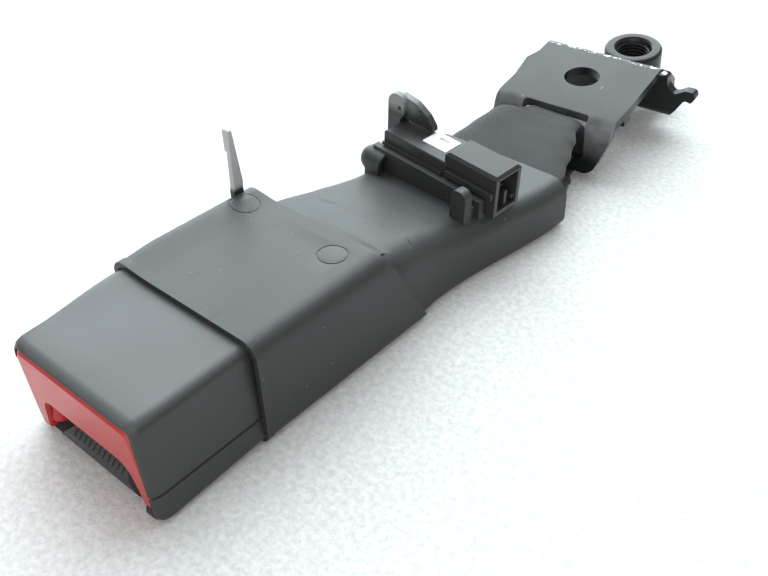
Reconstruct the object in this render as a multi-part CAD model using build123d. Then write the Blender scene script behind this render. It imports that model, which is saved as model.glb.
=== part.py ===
from build123d import *
import os

# A webbing mounted seat belt buckle. Millimetres, Z up, the press button faces -Y.
# Working coordinates have y = 0 at the front rim of the boot and z = 0 on the ground;
# origin_x and origin_y move the finished part so that the origin is under its middle.
origin_x = 4.88
origin_y = 87.82

# ---------------------------------------------------------------- covers
cover_front_y = -29.2
cover_rear_y = 38.0
cover_wall = 1.6
cover_base_z = 1.4
cover_nose_y = -26.2
cover_nose_base_z = 0.2
cover_bend_y = 1.0
cover_waist_z = 8.0
cover_top_z = 28.7
cover_rear_top_z = 26.8
cover_base_half = 22.9
cover_waist_half = 23.0
cover_crown_half = 21.9
cover_crown_radius = 3.2
cover_waist_radius = 8.0
cover_base_radius = 2.2
parting_gap = 0.9
parting_lip_thickness = 0.8
parting_lip_height = 2.2
parting_lip_clearance = 0.15
parting_lip_front_y = -13.1

# ---------------------------------------------------------------- slot lip and its guide ribs
lip_foot_half = 15.0
lip_half_width = 9.9
lip_front_y = -29.5
lip_rear_y = -21.9
lip_top_z = 6.3
lip_foot_z = 1.6
lip_rib_count = 11
lip_rib_pitch = 1.75
lip_rib_width = 0.8
lip_rib_height = 1.6

# ---------------------------------------------------------------- press button
button_clearance = 0.35
button_front_y = -31.4
button_face_thickness = 2.2
button_skirt_rear_y = -18.5
button_skirt_wall = 1.3
button_foot_z = 2.5
button_skirt_foot_z = 4.1
button_lean = 1.6
button_bevel = 0.8
mouth_crown_z = 13.4
mouth_half_width = 14.8
mouth_foot_half_width = 17.2
mouth_corner_radius = 4.6
mouth_flare = 0.9
guide_rear_y = -25.4
guide_rear_x = 14.2
guide_wall = 1.2
guide_taper = 1.9
guide_knee = 2.4
guide_back = 1.8
arm_inner_x = 17.1
arm_outer_x = 18.7
arm_rear_y = -1.0
arm_low_z = 15.6
arm_high_z = 21.4
arm_lug_inner_x = 16.15
arm_lug_front_y = -5.4
arm_lug_rear_y = -3.0
button_spring_x = 10.6
button_spring_z = 22.7
button_spring_boss_radius = 1.35

# ---------------------------------------------------------------- steel frame
frame_thickness = 2.4
frame_base_top_z = 8.0
frame_half_width = 15.8
frame_front_y = -21.8
frame_rear_y = 34.6
frame_wall_front_y = -14.0
frame_wall_rear_y = 18.6
frame_wall_top_z = 22.4
frame_bridge_front_y = 10.8
frame_window_half = 6.0
frame_window_front_y = -16.2
frame_window_rear_y = -8.2
frame_slot_half = 13.6
frame_slot_front_y = 26.6
frame_slot_rear_y = 30.5
frame_stop_front_y = 21.0
frame_stop_thickness = 2.0
frame_stop_half = 3.6
frame_stop_top_z = 12.6

# ---------------------------------------------------------------- latch, its pin and its spring
pin_y = 8.0
pin_z = 14.5
pin_radius = 1.5
pin_head_radius = 2.4
pin_head_thickness = 0.8
pin_running_clearance = 0.05
latch_thickness = 2.4
latch_half_width = 11.0
latch_nose_half_width = 5.2
latch_nose_front_y = -14.4
latch_eye_radius = 2.9
latch_eye_length = 3.2
latch_shoulder_y = 0.6
latch_tail_y = 17.2
latch_tooth_rear_y = -10.6
latch_tooth_foot_z = 11.4
latch_boss_front_y = -9.0
latch_boss_rear_y = -4.0
latch_boss_top_z = 19.4
latch_boss_chamfer = 1.6
latch_spring_y = 14.2

# ---------------------------------------------------------------- lock slider
lock_bar_half_length = 15.8
lock_bar_front_y = 3.3
lock_bar_rear_y = 6.3
lock_bar_low_z = 17.6
lock_bar_high_z = 19.9
lock_finger_half = 4.2
lock_finger_front_y = -2.0
lock_finger_low_z = 17.9
lock_finger_chamfer = 1.2
lock_travel = 5.5
lock_slot_clearance = 0.35

# ---------------------------------------------------------------- ejector, its spring and guide pin
ejector_low_z = 8.3
ejector_high_z = 11.0
ejector_front_y = -12.0
ejector_fork_y = -2.0
ejector_rear_y = 2.0
ejector_half_width = 12.6
ejector_gap_half = 6.3
ejector_spring_z = 9.95
guide_pin_radius = 0.75
guide_pin_front_y = 15.2
guide_pin_flange_radius = 1.5
guide_pin_flange = 0.6

# ---------------------------------------------------------------- coil springs
spring_sides = 5
spring_points_per_turn = 10
button_spring_radius = 1.9
button_spring_wire = 0.28
button_spring_turns = 5
ejector_spring_radius = 1.25
ejector_spring_wire = 0.24
ejector_spring_turns = 7
latch_spring_radius = 1.5
latch_spring_wire = 0.25
latch_spring_turns = 3

# ---------------------------------------------------------------- buckle switch
switch_x0 = -13.0
switch_x1 = 13.0
switch_front_y = 19.4
switch_rear_y = 33.6
switch_low_z = 14.2
switch_high_z = 22.6
switch_wall = 1.1
contact_half_width = 1.3
contact_thickness = 0.35
contact_x = 5.2
wiper_half_width = 1.2
wiper_thickness = 0.5
wiper_front_y = 0.2
wiper_rear_y = 18.9
wiper_top_z = 16.2
wiper_slot_clearance = 0.4

# ---------------------------------------------------------------- boot
boot_wall = 1.1
neck_wall = 2.0
boot_rim_half = 24.4
boot_rim_height = 30.2
boot_rim_radius = 4.2
boot_rim_band = 2.3
boot_rim_step = 0.25
boot_shoulder_y = 43.0
boot_shoulder_half = 25.1
boot_shoulder_height = 28.9
boot_shoulder_radius = 6.0
boot_shoulder_foot_y = 59.0
boot_base_radius = 3.2
neck_start_y = 38.0
neck_end_y = 116.4
neck_sections = 12
neck_start_height = 25.9
neck_fall = 8.5
neck_late_fall = 2.0
neck_start_half = 23.1
neck_waist = 0.4
neck_flare = 1.7
neck_start_centre = 0.9
neck_dip = 0.4
neck_drift = 4.7
neck_start_radius = 9.0
neck_radius_loss = 3.6
shelf_rear_y = 48.6
shelf_top_z = 27.0
shelf_left_x = -5.0
shelf_right_x = 19.0
mark_radius = 3.9
mark_groove = 0.35
mark_depth = 0.25
fin_x = -22.6
fin_thickness = 1.6
fin_front_y = 37.2
fin_foot_length = 3.3
fin_tip_length = 1.1
fin_top_z = 49.2
fin_barb = 0.7
fin_barb_length = 6.2

# ---------------------------------------------------------------- connector holder on the boot's tail
tail_x = 4.5
tail_y = 84.0
tail_z = 1.2
tail_yaw = -3.5
tail_roll = 3.5
holder_left_u = -23.5
holder_right_u = 16.6
holder_wall_front_v = 0.0
holder_wall_rear_v = 2.2
holder_wall_top_w = 22.4
holder_floor_w = 17.2
holder_back_v = 16.2
holder_back_thickness = 1.5
holder_back_top_w = 20.6
holder_root_w = 9.0
near_post_u0 = 10.6
near_post_u1 = 15.8
near_post_front_v = -5.2
near_post_rear_v = -2.4
near_post_top_w = 27.0
far_tab_u0 = -26.8
far_tab_u1 = -21.95
far_tab_crown_u = -20.6
far_tab_front_v = 9.4
far_tab_thickness = 1.9
far_tab_top_w = 35.0
strut_foot_u = -10.6
strut_foot_w = 27.4
strut_thickness = 1.7
hood_radius = 3.9
hood_left_u = -27.6
hood_right_u = -18.4
hood_v = 0.6
hood_w = 17.4
hood_bore_radius = 2.3

# ---------------------------------------------------------------- connector
conn_left_u = -21.6
conn_step_u = 1.2
conn_right_u = 19.4
conn_near_v = 2.6
conn_far_v = 13.4
conn_low_w = 17.3
conn_left_top_w = 26.8
conn_right_top_w = 30.0
conn_wall = 1.3
conn_socket_floor_u = 5.0
conn_insert_u0 = -10.4
conn_insert_u1 = -1.6
conn_insert_rear_v = 13.2
conn_insert_front_v = 6.4
conn_insert_depth = 1.2
conn_rib_thickness = 1.0
conn_rib_top_w = 23.4
conn_lock_thickness = 1.3
conn_lock_low_w = 23.2
conn_lock_high_w = 25.2
terminal_w = 22.2
terminal_heel = 1.1
riser_u = (-17.6, -15.2)
riser_v = (6.2, 10.8)
terminal_thickness = 0.8
terminal_width = 1.6
terminal_tip_u = 15.4
wire_radius = 0.8
wire_spacing = 2.2
wire_clearance = 0.05
wire_first_x = -9.9
wire_start_z = 18.4
wire_bend_y = 41.5
wire_drift = 1.2
wire_low_y = 64.0
wire_low_z = 14.4
wire_foot_w = 10.6
wire_bends = (8.0, 10.0, 2.0)

# ---------------------------------------------------------------- anchor bracket
bracket_x = 4.4
bracket_y = 147.0
bracket_z = 0.6
bracket_yaw = 5.0
bracket_pitch = 6.5
sheet = 3.0
plate_top_w = 18.5
plate_rear_v = 38.8
plate_left_u = -19.7
plate_bulge_u = -21.4
plate_bulge_v = 22.6
plate_bulge_end_v = 28.2
plate_right_u = 21.2
bend_radius = 4.4
bend_inner_radius = 1.6
flange_foot_w = 2.6
flange_lean = 6.9
flange_foot_left_u = -18.2
flange_foot_right_u = 18.0
flange_foot_radius = 4.0
slot_left_u = -10.0
slot_right_u = 12.8
slot_foot_left_u = -11.6
slot_foot_right_u = 14.4
slot_low_w = 5.8
slot_high_w = 15.6
slot_lead_v = 1.6
slot_corner = 2.4
bolt_hole_radius = 5.75
bolt_hole_u = 0.6
bolt_hole_v = 20.0
web_foot_left_u = -13.0
web_taper_w = 13.0
foot_top_w = 2.6
foot_left_u = -8.0
foot_right_u = 19.6
foot_rear_v = 59.2
foot_corner = 6.0
ear_u = 24.2
ear_w = 17.0
ear_neck_u = 23.4
ear_neck_w = 13.0
hook_root_w = 10.0
hook_tip_u = 33.6
hook_tip_w = 10.4
hook_top_w = 12.4
hook_low_w = 8.0
web_corner_u = 25.2
side_tab_front_v = 9.8
side_tab_rear_v = 14.6
side_tab_low_w = 11.6
boss_radius = 9.7
boss_u = 5.5
boss_v = 48.8
boss_top_w = 15.6
boss_bore_radius = 5.05
boss_chamfer = 0.9
boss_pilot_radius = 6.6

# ---------------------------------------------------------------- webbing
web_thickness = 1.3
web_loop_front_y = 28.6
web_loop_low_z = 4.0
web_loop_high_z = 9.8
web_frame_half = 12.9
web_join_front_y = 44.0
web_join_rear_y = 104.0
web_join_front_z = 6.8
web_join_rear_z = 9.1
web_crest_y = 143.6
web_crest_z = 18.2
web_dive_y = 148.4
web_dive_z = 13.4
web_loop_end_y = 150.8
web_loop_end_z = 6.6
web_floor_y = 147.0
web_floor_z = 0.4
web_slot_x0 = -4.4
web_slot_x1 = 16.8
stitch_pitch = 5.2
stitch_rows = 4
stitch_proud = 0.25


# ================================================================ helpers
def plane_at(y):
    return Plane((0, y, 0), x_dir=(1, 0, 0), z_dir=(0, -1, 0))


def block(x0, x1, y0, y1, z0, z1):
    size = Box(x1 - x0, y1 - y0, z1 - z0)
    return Pos((x0 + x1) / 2, (y0 + y1) / 2, (z0 + z1) / 2) * size


def rounded_polygon(points, radii):
    """A face from corner points, each corner rounded by its own radius."""
    face = make_face(Polyline(*points, close=True))
    for point, radius in zip(points, radii):
        if radius > 0:
            corner = face.vertices().sort_by_distance(Vector(point[0], point[1], 0))[0]
            face = fillet(corner, radius)
    return face


def across(points, radii, x0, x1):
    """A side view outline in y and z, extruded from x0 to x1."""
    face = Plane.YZ * rounded_polygon(points, radii)
    return Pos(x0, 0, 0) * extrude(face, x1 - x0, dir=(1, 0, 0))


def upright(points, radii, z0, z1):
    """A plan outline in x and y, extruded from z0 to z1."""
    face = rounded_polygon(points, radii)
    return Pos(0, 0, z0) * extrude(face, z1 - z0, dir=(0, 0, 1))


def facing(points, radii, y0, y1):
    """A front view outline in x and z, extruded from y0 to y1."""
    face = plane_at(y0) * rounded_polygon(points, radii)
    return extrude(face, y1 - y0, dir=(0, 1, 0))


def rod_x(x0, x1, y, z, radius):
    rod = Cylinder(radius, x1 - x0, rotation=(0, 90, 0))
    return Pos((x0 + x1) / 2, y, z) * rod


def rod_y(y0, y1, x, z, radius):
    rod = Cylinder(radius, y1 - y0, rotation=(90, 0, 0))
    return Pos(x, (y0 + y1) / 2, z) * rod


def rod_z(z0, z1, x, y, radius):
    return Pos(x, y, (z0 + z1) / 2) * Cylinder(radius, z1 - z0)


def ease(y, start, end):
    """A smooth step from 0 at start to 1 at end."""
    share = min(max((y - start) / (end - start), 0.0), 1.0)
    return share * share * (3 - 2 * share)


def coil(radius, wire, turns, length):
    """A compression spring standing on z = 0 and length tall."""
    rise = length - 2 * wire
    steps = turns * spring_points_per_turn
    points = []
    for step in range(steps + 1):
        point = Vector(radius, 0, wire + rise * step / steps)
        points.append(point.rotate(Axis.Z, 360 * step / spring_points_per_turn))
    path = Polyline(*points)
    start = Plane(path @ 0, z_dir=path % 0)
    return sweep(start * RegularPolygon(wire, spring_sides), path, transition=Transition.RIGHT)


def mirrored(solid):
    return solid.mirror(Plane.YZ)


def to_tail(solid):
    yaw = Location((tail_x, tail_y, tail_z), (0, 0, tail_yaw))
    roll = Location((0, 0, 0), (0, tail_roll, 0))
    return yaw * roll * solid


def to_bracket(solid):
    yaw = Location((bracket_x, bracket_y, bracket_z), (0, 0, bracket_yaw))
    pitch = Location((0, 0, 0), (bracket_pitch, 0, 0))
    return yaw * pitch * solid


# ================================================================ covers
def cover_base_at(y):
    """Height of the covers' underside: it sinks to the ground in front of the boot."""
    share = min(max((y - cover_nose_y) / (cover_bend_y - cover_nose_y), 0.0), 1.0)
    return cover_nose_base_z + share * (cover_base_z - cover_nose_base_z)


def cover_outline(inset, top_z, tuck, base_z):
    """The cover's cross-section: full waist, leaning sides, rounded corners."""
    side = inset + tuck
    base = base_z + side
    crown = top_z - side
    points = [
        (-(cover_base_half - side), base),
        (-(cover_waist_half - side), cover_waist_z),
        (-(cover_crown_half - side), crown),
        (cover_crown_half - side, crown),
        (cover_waist_half - side, cover_waist_z),
        (cover_base_half - side, base),
    ]
    crown_r = cover_crown_radius - inset * 0.8
    base_r = cover_base_radius - inset * 0.6
    waist_r = cover_waist_radius - inset * 2.0
    radii = [base_r, waist_r, crown_r, crown_r, waist_r, base_r]
    return rounded_polygon(points, radii)


def cover_face(y, inset, top_z, tuck=0.0):
    return plane_at(y) * cover_outline(inset, top_z, tuck, cover_base_at(y))


def cover_body(inset, front_y, rear_y):
    top_rear = cover_rear_top_z
    front = [
        cover_face(front_y, inset, cover_top_z, 2.0),
        cover_face(front_y + 0.5, inset, cover_top_z, 0.95),
        cover_face(front_y + 1.5, inset, cover_top_z, 0.3),
        cover_face(cover_nose_y, inset, cover_top_z),
    ]
    middle = cover_face(cover_bend_y, inset, cover_top_z)
    nose = loft(front, ruled=True)
    head = loft([front[3], middle], ruled=True)
    tail = loft([middle, cover_face(rear_y, inset, top_rear)], ruled=True)
    return nose + head + tail


def cover_cavity():
    """The hollow inside both covers, open at the front, closed at the rear."""
    middle = cover_face(cover_bend_y, cover_wall, cover_top_z)
    mouth_face = cover_face(cover_nose_y, cover_wall, cover_top_z)
    opening = extrude(mouth_face, 8.0, dir=(0, -1, 0))
    head = loft([mouth_face, middle], ruled=True)
    rear_face = cover_face(cover_rear_y - cover_wall, cover_wall, cover_rear_top_z)
    return opening + head + loft([middle, rear_face], ruled=True)


def cover_webbing_door():
    """The rear opening that the webbing and the switch wires leave by."""
    half = web_frame_half + 1.6
    door = block(-half, half, cover_rear_y - 4, cover_rear_y + 2, cover_base_z + cover_wall, 11.6)
    return door + block(-12.2, -5.4, cover_rear_y - 4, cover_rear_y + 2, 16.6, 20.2)


def upper_cover():
    shell = cover_body(0, cover_front_y, cover_rear_y) - cover_cavity() - cover_webbing_door()
    low = cover_waist_z + parting_gap / 2
    shell = shell & block(-40, 40, -60, 60, low, 60)
    # pockets that hold the rear ends of the button springs
    inner_top = cover_top_z - cover_wall
    for side in (-1, 1):
        x = side * button_spring_x
        shell = shell + block(x - 2.5, x + 2.5, -6.4, -4.4, 20.5, inner_top + 0.4)
        shell = shell + rod_y(-8.6, -6.2, x, button_spring_z, button_spring_boss_radius)
        # ribs that press the frame's bridge down
        shell = shell + block(side * 9.0 - 1.0, side * 9.0 + 1.0, 11.4, 17.6, frame_wall_top_z, 27.1)
    # rib over the switch
    shell = shell + block(-9.0, 9.0, 25.6, 27.2, switch_high_z, 26.4)
    # cross rib behind the front edge, stiffens the roof
    shell = shell + block(-14.5, 14.5, 1.4, 2.6, 24.4, inner_top + 0.4)
    return shell


def lower_cover():
    shell = cover_body(0, cover_front_y, cover_rear_y) - cover_cavity() - cover_webbing_door()
    high = cover_waist_z - parting_gap / 2
    shell = shell & block(-40, 40, -60, 60, -5, high)
    # tongue inside the parting line that the upper cover slides over, clear of the pressed button
    front_y = parting_lip_front_y
    step = cover_wall + parting_lip_clearance
    outer_front = cover_face(front_y, step, cover_top_z)
    outer_rear = cover_face(cover_rear_y - 2.4, step, cover_rear_top_z)
    outer = loft([outer_front, outer_rear], ruled=True)
    step_in = step + parting_lip_thickness
    inner_front = cover_face(front_y - 1.0, step_in, cover_top_z)
    inner_rear = cover_face(cover_rear_y - 1.0, step_in, cover_rear_top_z)
    inner = loft([inner_front, inner_rear], ruled=True)
    lip = (outer - inner) & block(-40, 40, front_y, 34.5, high - 2.2, high + parting_lip_height)
    shell = shell + lip
    # carrier that joins the lip to the wall just below the parting line
    carrier_outer = loft(
        [cover_face(front_y, 1.0, cover_top_z), cover_face(34.0, 1.0, cover_rear_top_z)], ruled=True
    )
    shell = shell + ((carrier_outer - inner) & block(-40, 40, front_y, 34.0, high - 2.2, high))
    shell = shell + slot_lip()
    # ribs that carry the steel frame
    floor = cover_base_z + 0.2
    under = frame_base_top_z - frame_thickness
    for x in (-13.6, -7.0, 7.0, 13.6):
        shell = shell + block(x - 0.8, x + 0.8, -20.0, 25.0, floor, under)
    # side lugs that centre the frame
    for side in (-1, 1):
        for y in (-12.0, 12.0):
            inner_x = side * (frame_half_width + 0.02)
            outer_x = side * (cover_waist_half - 1.0)
            shell = shell + block(min(inner_x, outer_x), max(inner_x, outer_x), y - 1.2, y + 1.2, floor, 8.2)
    return shell


def slot_lip():
    """The fixed lip under the tongue's slot, rounded in front, with guide ribs on top."""
    side_view = [
        (lip_front_y, lip_foot_z),
        (lip_rear_y, lip_foot_z),
        (lip_rear_y, lip_top_z),
        (lip_front_y + 1.8, lip_top_z),
        (lip_front_y, 4.6),
    ]
    lip = across(side_view, [1.0, 0, 0, 1.2, 1.2], -lip_foot_half, lip_foot_half)
    ends = [
        (-lip_foot_half, lip_foot_z),
        (lip_foot_half, lip_foot_z),
        (lip_half_width, lip_top_z),
        (-lip_half_width, lip_top_z),
    ]
    lip = lip & facing(ends, [0, 0, 0, 0], lip_front_y - 1, lip_rear_y + 1)
    first = -(lip_rib_count - 1) / 2 * lip_rib_pitch
    ribs = [
        (lip_front_y + 1.0, 3.4),
        (lip_rear_y, 3.4),
        (lip_rear_y, lip_top_z + lip_rib_height),
        (lip_front_y + 2.6, lip_top_z + lip_rib_height),
        (lip_front_y + 1.0, 5.4),
    ]
    for number in range(lip_rib_count):
        x = first + number * lip_rib_pitch
        lip = lip + across(ribs, [0, 0, 0, 1.2, 0], x - lip_rib_width / 2, x + lip_rib_width / 2)
    return lip


# ================================================================ press button
def button_outline(inset, y):
    side = cover_wall + button_clearance + inset
    return cover_face(y, side, cover_top_z)


def mouth(extra, y0, y1):
    """The arched mouth for the belt's tongue, wider at its foot."""
    points = [
        (-(mouth_foot_half_width + extra), button_foot_z - 3),
        (-(mouth_foot_half_width + extra), button_skirt_foot_z),
        (-(mouth_half_width + extra), mouth_crown_z + extra),
        (mouth_half_width + extra, mouth_crown_z + extra),
        (mouth_foot_half_width + extra, button_skirt_foot_z),
        (mouth_foot_half_width + extra, button_foot_z - 3),
    ]
    radii = [0, 2.0, mouth_corner_radius, mouth_corner_radius, 2.0, 0]
    return facing(points, radii, y0, y1)


def bevel_cone():
    """A cone of the button's outline that bevels the rim of the leaning face."""
    slope = button_lean / 27.5
    lean_plane = Plane(
        (0, button_front_y + button_lean, 0), x_dir=(1, 0, 0), z_dir=(0, -1, -slope)
    )
    depth = 16.0
    side = cover_wall + button_clearance
    base_z = cover_nose_base_z - button_bevel
    near = lean_plane * cover_outline(side, cover_top_z, button_bevel, base_z)
    far = lean_plane.offset(-depth) * cover_outline(side, cover_top_z, button_bevel - depth, base_z)
    return loft([near, far], ruled=True)


def tongue_guide():
    """Walls behind the mouth that narrow towards the tongue's slot, and its roof."""
    front_x = mouth_foot_half_width - 0.2
    front_y = button_front_y + button_face_thickness
    plan = [
        (front_x, front_y),
        (front_x - guide_taper, guide_rear_y - guide_knee),
        (guide_rear_x, guide_rear_y),
        (guide_rear_x + guide_wall, guide_rear_y),
        (front_x + guide_back, guide_rear_y - 1.6),
        (front_x + guide_back + 1.1, front_y),
    ]
    high = mouth_crown_z + guide_wall
    wall = upright(plan, [0, 3.0, 0, 0, 2.0, 0], button_skirt_foot_z, high)
    roof = block(-front_x, front_x, front_y - 0.2, guide_rear_y, mouth_crown_z, high)
    return wall + mirrored(wall) + roof


def press_button():
    rear = button_skirt_rear_y
    body = extrude(button_outline(0, button_front_y), rear - button_front_y, dir=(0, 1, 0))
    hollow = extrude(
        button_outline(button_skirt_wall, button_front_y + button_face_thickness), 20, dir=(0, 1, 0)
    )
    # face leans back towards its foot
    lean = across(
        [
            (button_front_y - 3, 0),
            (button_front_y + button_lean, 0),
            (button_front_y + 0.1, 27.5),
            (button_front_y - 3, 27.5),
        ],
        [0, 0, 0, 0],
        -30,
        30,
    )
    body = body - hollow - lean
    body = body - block(-30, 30, -40, 0, -5, button_foot_z)
    body = body - block(-30, 30, button_front_y + 3.4, 0, -5, button_skirt_foot_z)
    body = body - mouth(0, -40, -10)
    body = body + tongue_guide()
    # flared entry of the mouth
    flare = loft(
        [
            mouth(mouth_flare, button_front_y - 0.6, button_front_y - 0.5).faces().sort_by(Axis.Y)[0],
            mouth(0, button_front_y + 2.4, button_front_y + 2.5).faces().sort_by(Axis.Y)[0],
        ],
        ruled=True,
    )
    body = body - flare
    body = body & bevel_cone()
    # side arms with the lugs that draw the lock back
    for side in (-1, 1):
        x0 = min(side * arm_inner_x, side * arm_outer_x)
        x1 = max(side * arm_inner_x, side * arm_outer_x)
        arm = across(
            [
                (button_front_y + 3, arm_low_z - 2),
                (button_front_y + 3, arm_high_z + 1),
                (rear, arm_high_z + 1),
                (arm_rear_y, arm_high_z),
                (arm_rear_y, arm_low_z),
                (rear, arm_low_z - 2),
            ],
            [0, 0, 1.0, 1.0, 1.0, 1.0],
            x0,
            x1,
        )
        lug_x = side * arm_lug_inner_x
        inner = min(lug_x, side * (arm_inner_x + 0.4))
        outer = max(lug_x, side * (arm_inner_x + 0.4))
        lug = block(inner, outer, arm_lug_front_y, arm_lug_rear_y, 17.2, 20.2)
        window = across(
            [(-16.0, 17.4), (-8.4, 17.4), (-8.4, 19.8), (-16.0, 19.8)],
            [0.9, 0.9, 0.9, 0.9],
            x0 - 1,
            x1 + 0.01,
        )
        body = body + arm + lug - window
        # seat of the button spring
        seat_x = side * button_spring_x
        face_y = button_front_y + button_face_thickness - 0.6
        body = body + rod_y(face_y, button_skirt_rear_y - 1.4, seat_x, button_spring_z, 2.3)
        peg_front = button_skirt_rear_y - 1.6
        peg_rear = button_skirt_rear_y + 1.4
        body = body + rod_y(peg_front, peg_rear, seat_x, button_spring_z, button_spring_boss_radius)
    # stiffening ribs behind the face
    for x in (-5.0, 0.0, 5.0):
        body = body + block(x - 0.6, x + 0.6, button_front_y + 1.8, button_skirt_rear_y - 3, 13.4, 24.8)
    return body


def button_springs():
    start_y = button_skirt_rear_y - 1.4
    end_y = -6.4
    length = end_y - start_y
    spring = coil(button_spring_radius, button_spring_wire, button_spring_turns, length)
    lying = Rot(-90, 0, 0) * spring
    left = Pos(-button_spring_x, start_y, button_spring_z) * lying
    right = Pos(button_spring_x, start_y, button_spring_z) * lying
    return [left, right]


# ================================================================ frame and latch
def buckle_frame():
    low = frame_base_top_z - frame_thickness
    outline = [
        (-12.4, frame_front_y),
        (12.4, frame_front_y),
        (frame_half_width, -16.0),
        (frame_half_width, frame_rear_y),
        (-frame_half_width, frame_rear_y),
        (-frame_half_width, -16.0),
    ]
    base = upright(outline, [2.0, 2.0, 1.5, 3.0, 3.0, 1.5], low, frame_base_top_z)
    wall_view = [
        (frame_wall_front_y, low),
        (frame_wall_front_y, 12.0),
        (-7.0, frame_wall_top_z - 0.4),
        (-4.6, frame_wall_top_z),
        (frame_wall_rear_y, frame_wall_top_z),
        (frame_wall_rear_y, low),
    ]
    inner_x = frame_half_width - frame_thickness
    body = base
    for side in (-1, 1):
        x0 = min(side * inner_x, side * frame_half_width)
        x1 = max(side * inner_x, side * frame_half_width)
        wall = across(wall_view, [0, 1.5, 2.0, 0, 2.0, 0], x0, x1)
        slot = across(
            [
                (lock_bar_front_y - lock_travel - lock_slot_clearance, lock_bar_low_z - lock_slot_clearance),
                (lock_bar_rear_y + lock_slot_clearance, lock_bar_low_z - lock_slot_clearance),
                (lock_bar_rear_y + lock_slot_clearance, lock_bar_high_z + lock_slot_clearance),
                (lock_bar_front_y - lock_travel - lock_slot_clearance, lock_bar_high_z + lock_slot_clearance),
            ],
            [0.6, 0.6, 0.6, 0.6],
            x0 - 1,
            x1 + 1,
        )
        body = body + (wall - slot)
    bridge = block(
        -frame_half_width, frame_half_width, frame_bridge_front_y, frame_wall_rear_y,
        frame_wall_top_z - 2.0, frame_wall_top_z,
    )
    body = body + bridge
    body = body - rod_x(-20, 20, pin_y, pin_z, pin_radius)
    window = upright(
        [
            (-frame_window_half, frame_window_front_y),
            (frame_window_half, frame_window_front_y),
            (frame_window_half, frame_window_rear_y),
            (-frame_window_half, frame_window_rear_y),
        ],
        [1, 1, 1, 1],
        low - 1,
        frame_base_top_z + 1,
    )
    webbing_slot = upright(
        [
            (-frame_slot_half, frame_slot_front_y),
            (frame_slot_half, frame_slot_front_y),
            (frame_slot_half, frame_slot_rear_y),
            (-frame_slot_half, frame_slot_rear_y),
        ],
        [1.6, 1.6, 1.6, 1.6],
        low - 1,
        frame_base_top_z + 1,
    )
    body = body - window - webbing_slot
    stop = facing(
        [
            (-frame_stop_half, frame_base_top_z - 0.5),
            (frame_stop_half, frame_base_top_z - 0.5),
            (frame_stop_half, frame_stop_top_z),
            (-frame_stop_half, frame_stop_top_z),
        ],
        [0, 0, 1.4, 1.4],
        frame_stop_front_y,
        frame_stop_front_y + frame_stop_thickness,
    )
    stop = stop - rod_y(frame_stop_front_y - 1, frame_stop_front_y + 4, 0, ejector_spring_z, guide_pin_radius)
    body = body + stop
    body = body - rod_y(frame_stop_front_y - 0.2, frame_stop_front_y + 4, 0, ejector_spring_z, guide_pin_radius)
    return body


def latch_pivot_pin():
    end = frame_half_width
    shaft = rod_x(-end - 0.2, end + 0.2, pin_y, pin_z, pin_radius)
    for side in (-1, 1):
        x0 = min(side * end, side * (end + pin_head_thickness))
        x1 = max(side * end, side * (end + pin_head_thickness))
        shaft = shaft + rod_x(x0, x1, pin_y, pin_z, pin_head_radius)
    return shaft


def latch_plate():
    low = pin_z - latch_thickness / 2
    high = pin_z + latch_thickness / 2
    nose = latch_nose_half_width
    outline = [
        (-nose, latch_nose_front_y),
        (nose, latch_nose_front_y),
        (nose, latch_shoulder_y - 1.0),
        (latch_half_width, latch_shoulder_y + 1.5),
        (latch_half_width, 11.6),
        (6.0, latch_tail_y),
        (-6.0, latch_tail_y),
        (-latch_half_width, 11.6),
        (-latch_half_width, latch_shoulder_y + 1.5),
        (-nose, latch_shoulder_y - 1.0),
    ]
    plate = upright(outline, [1.0, 1.0, 1.5, 1.0, 1.5, 1.5, 1.5, 1.5, 1.0, 1.5], low, high)
    tooth = across(
        [
            (latch_nose_front_y, high),
            (latch_nose_front_y, latch_tooth_foot_z + 1.5),
            (latch_nose_front_y + 1.6, latch_tooth_foot_z),
            (latch_tooth_rear_y, latch_tooth_foot_z),
            (latch_tooth_rear_y, high),
        ],
        [0, 0, 0.4, 0.5, 0],
        -nose + 0.3,
        nose - 0.3,
    )
    boss = across(
        [
            (latch_boss_front_y, low),
            (latch_boss_front_y + 0.8, latch_boss_top_z),
            (latch_boss_rear_y - latch_boss_chamfer, latch_boss_top_z),
            (latch_boss_rear_y, latch_boss_top_z - latch_boss_chamfer),
            (latch_boss_rear_y, low),
        ],
        [0, 0.6, 0.4, 0.4, 0],
        -3.4,
        3.4,
    )
    eyes = rod_x(-latch_half_width, -latch_half_width + latch_eye_length, pin_y, pin_z, latch_eye_radius)
    eyes = eyes + mirrored(eyes)
    plate = plate + tooth + boss + eyes
    seat_radius = latch_spring_radius - latch_spring_wire - 0.1
    spring_seat = rod_z(high - 0.2, high + 0.8, 0, latch_spring_y, seat_radius)
    plate = plate + spring_seat
    return plate - rod_x(-20, 20, pin_y, pin_z, pin_radius + pin_running_clearance)


def latch_spring():
    low = pin_z + latch_thickness / 2
    high = frame_wall_top_z - 2.0
    spring = coil(latch_spring_radius, latch_spring_wire, latch_spring_turns, high - low)
    return Pos(0, latch_spring_y, low) * spring


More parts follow.
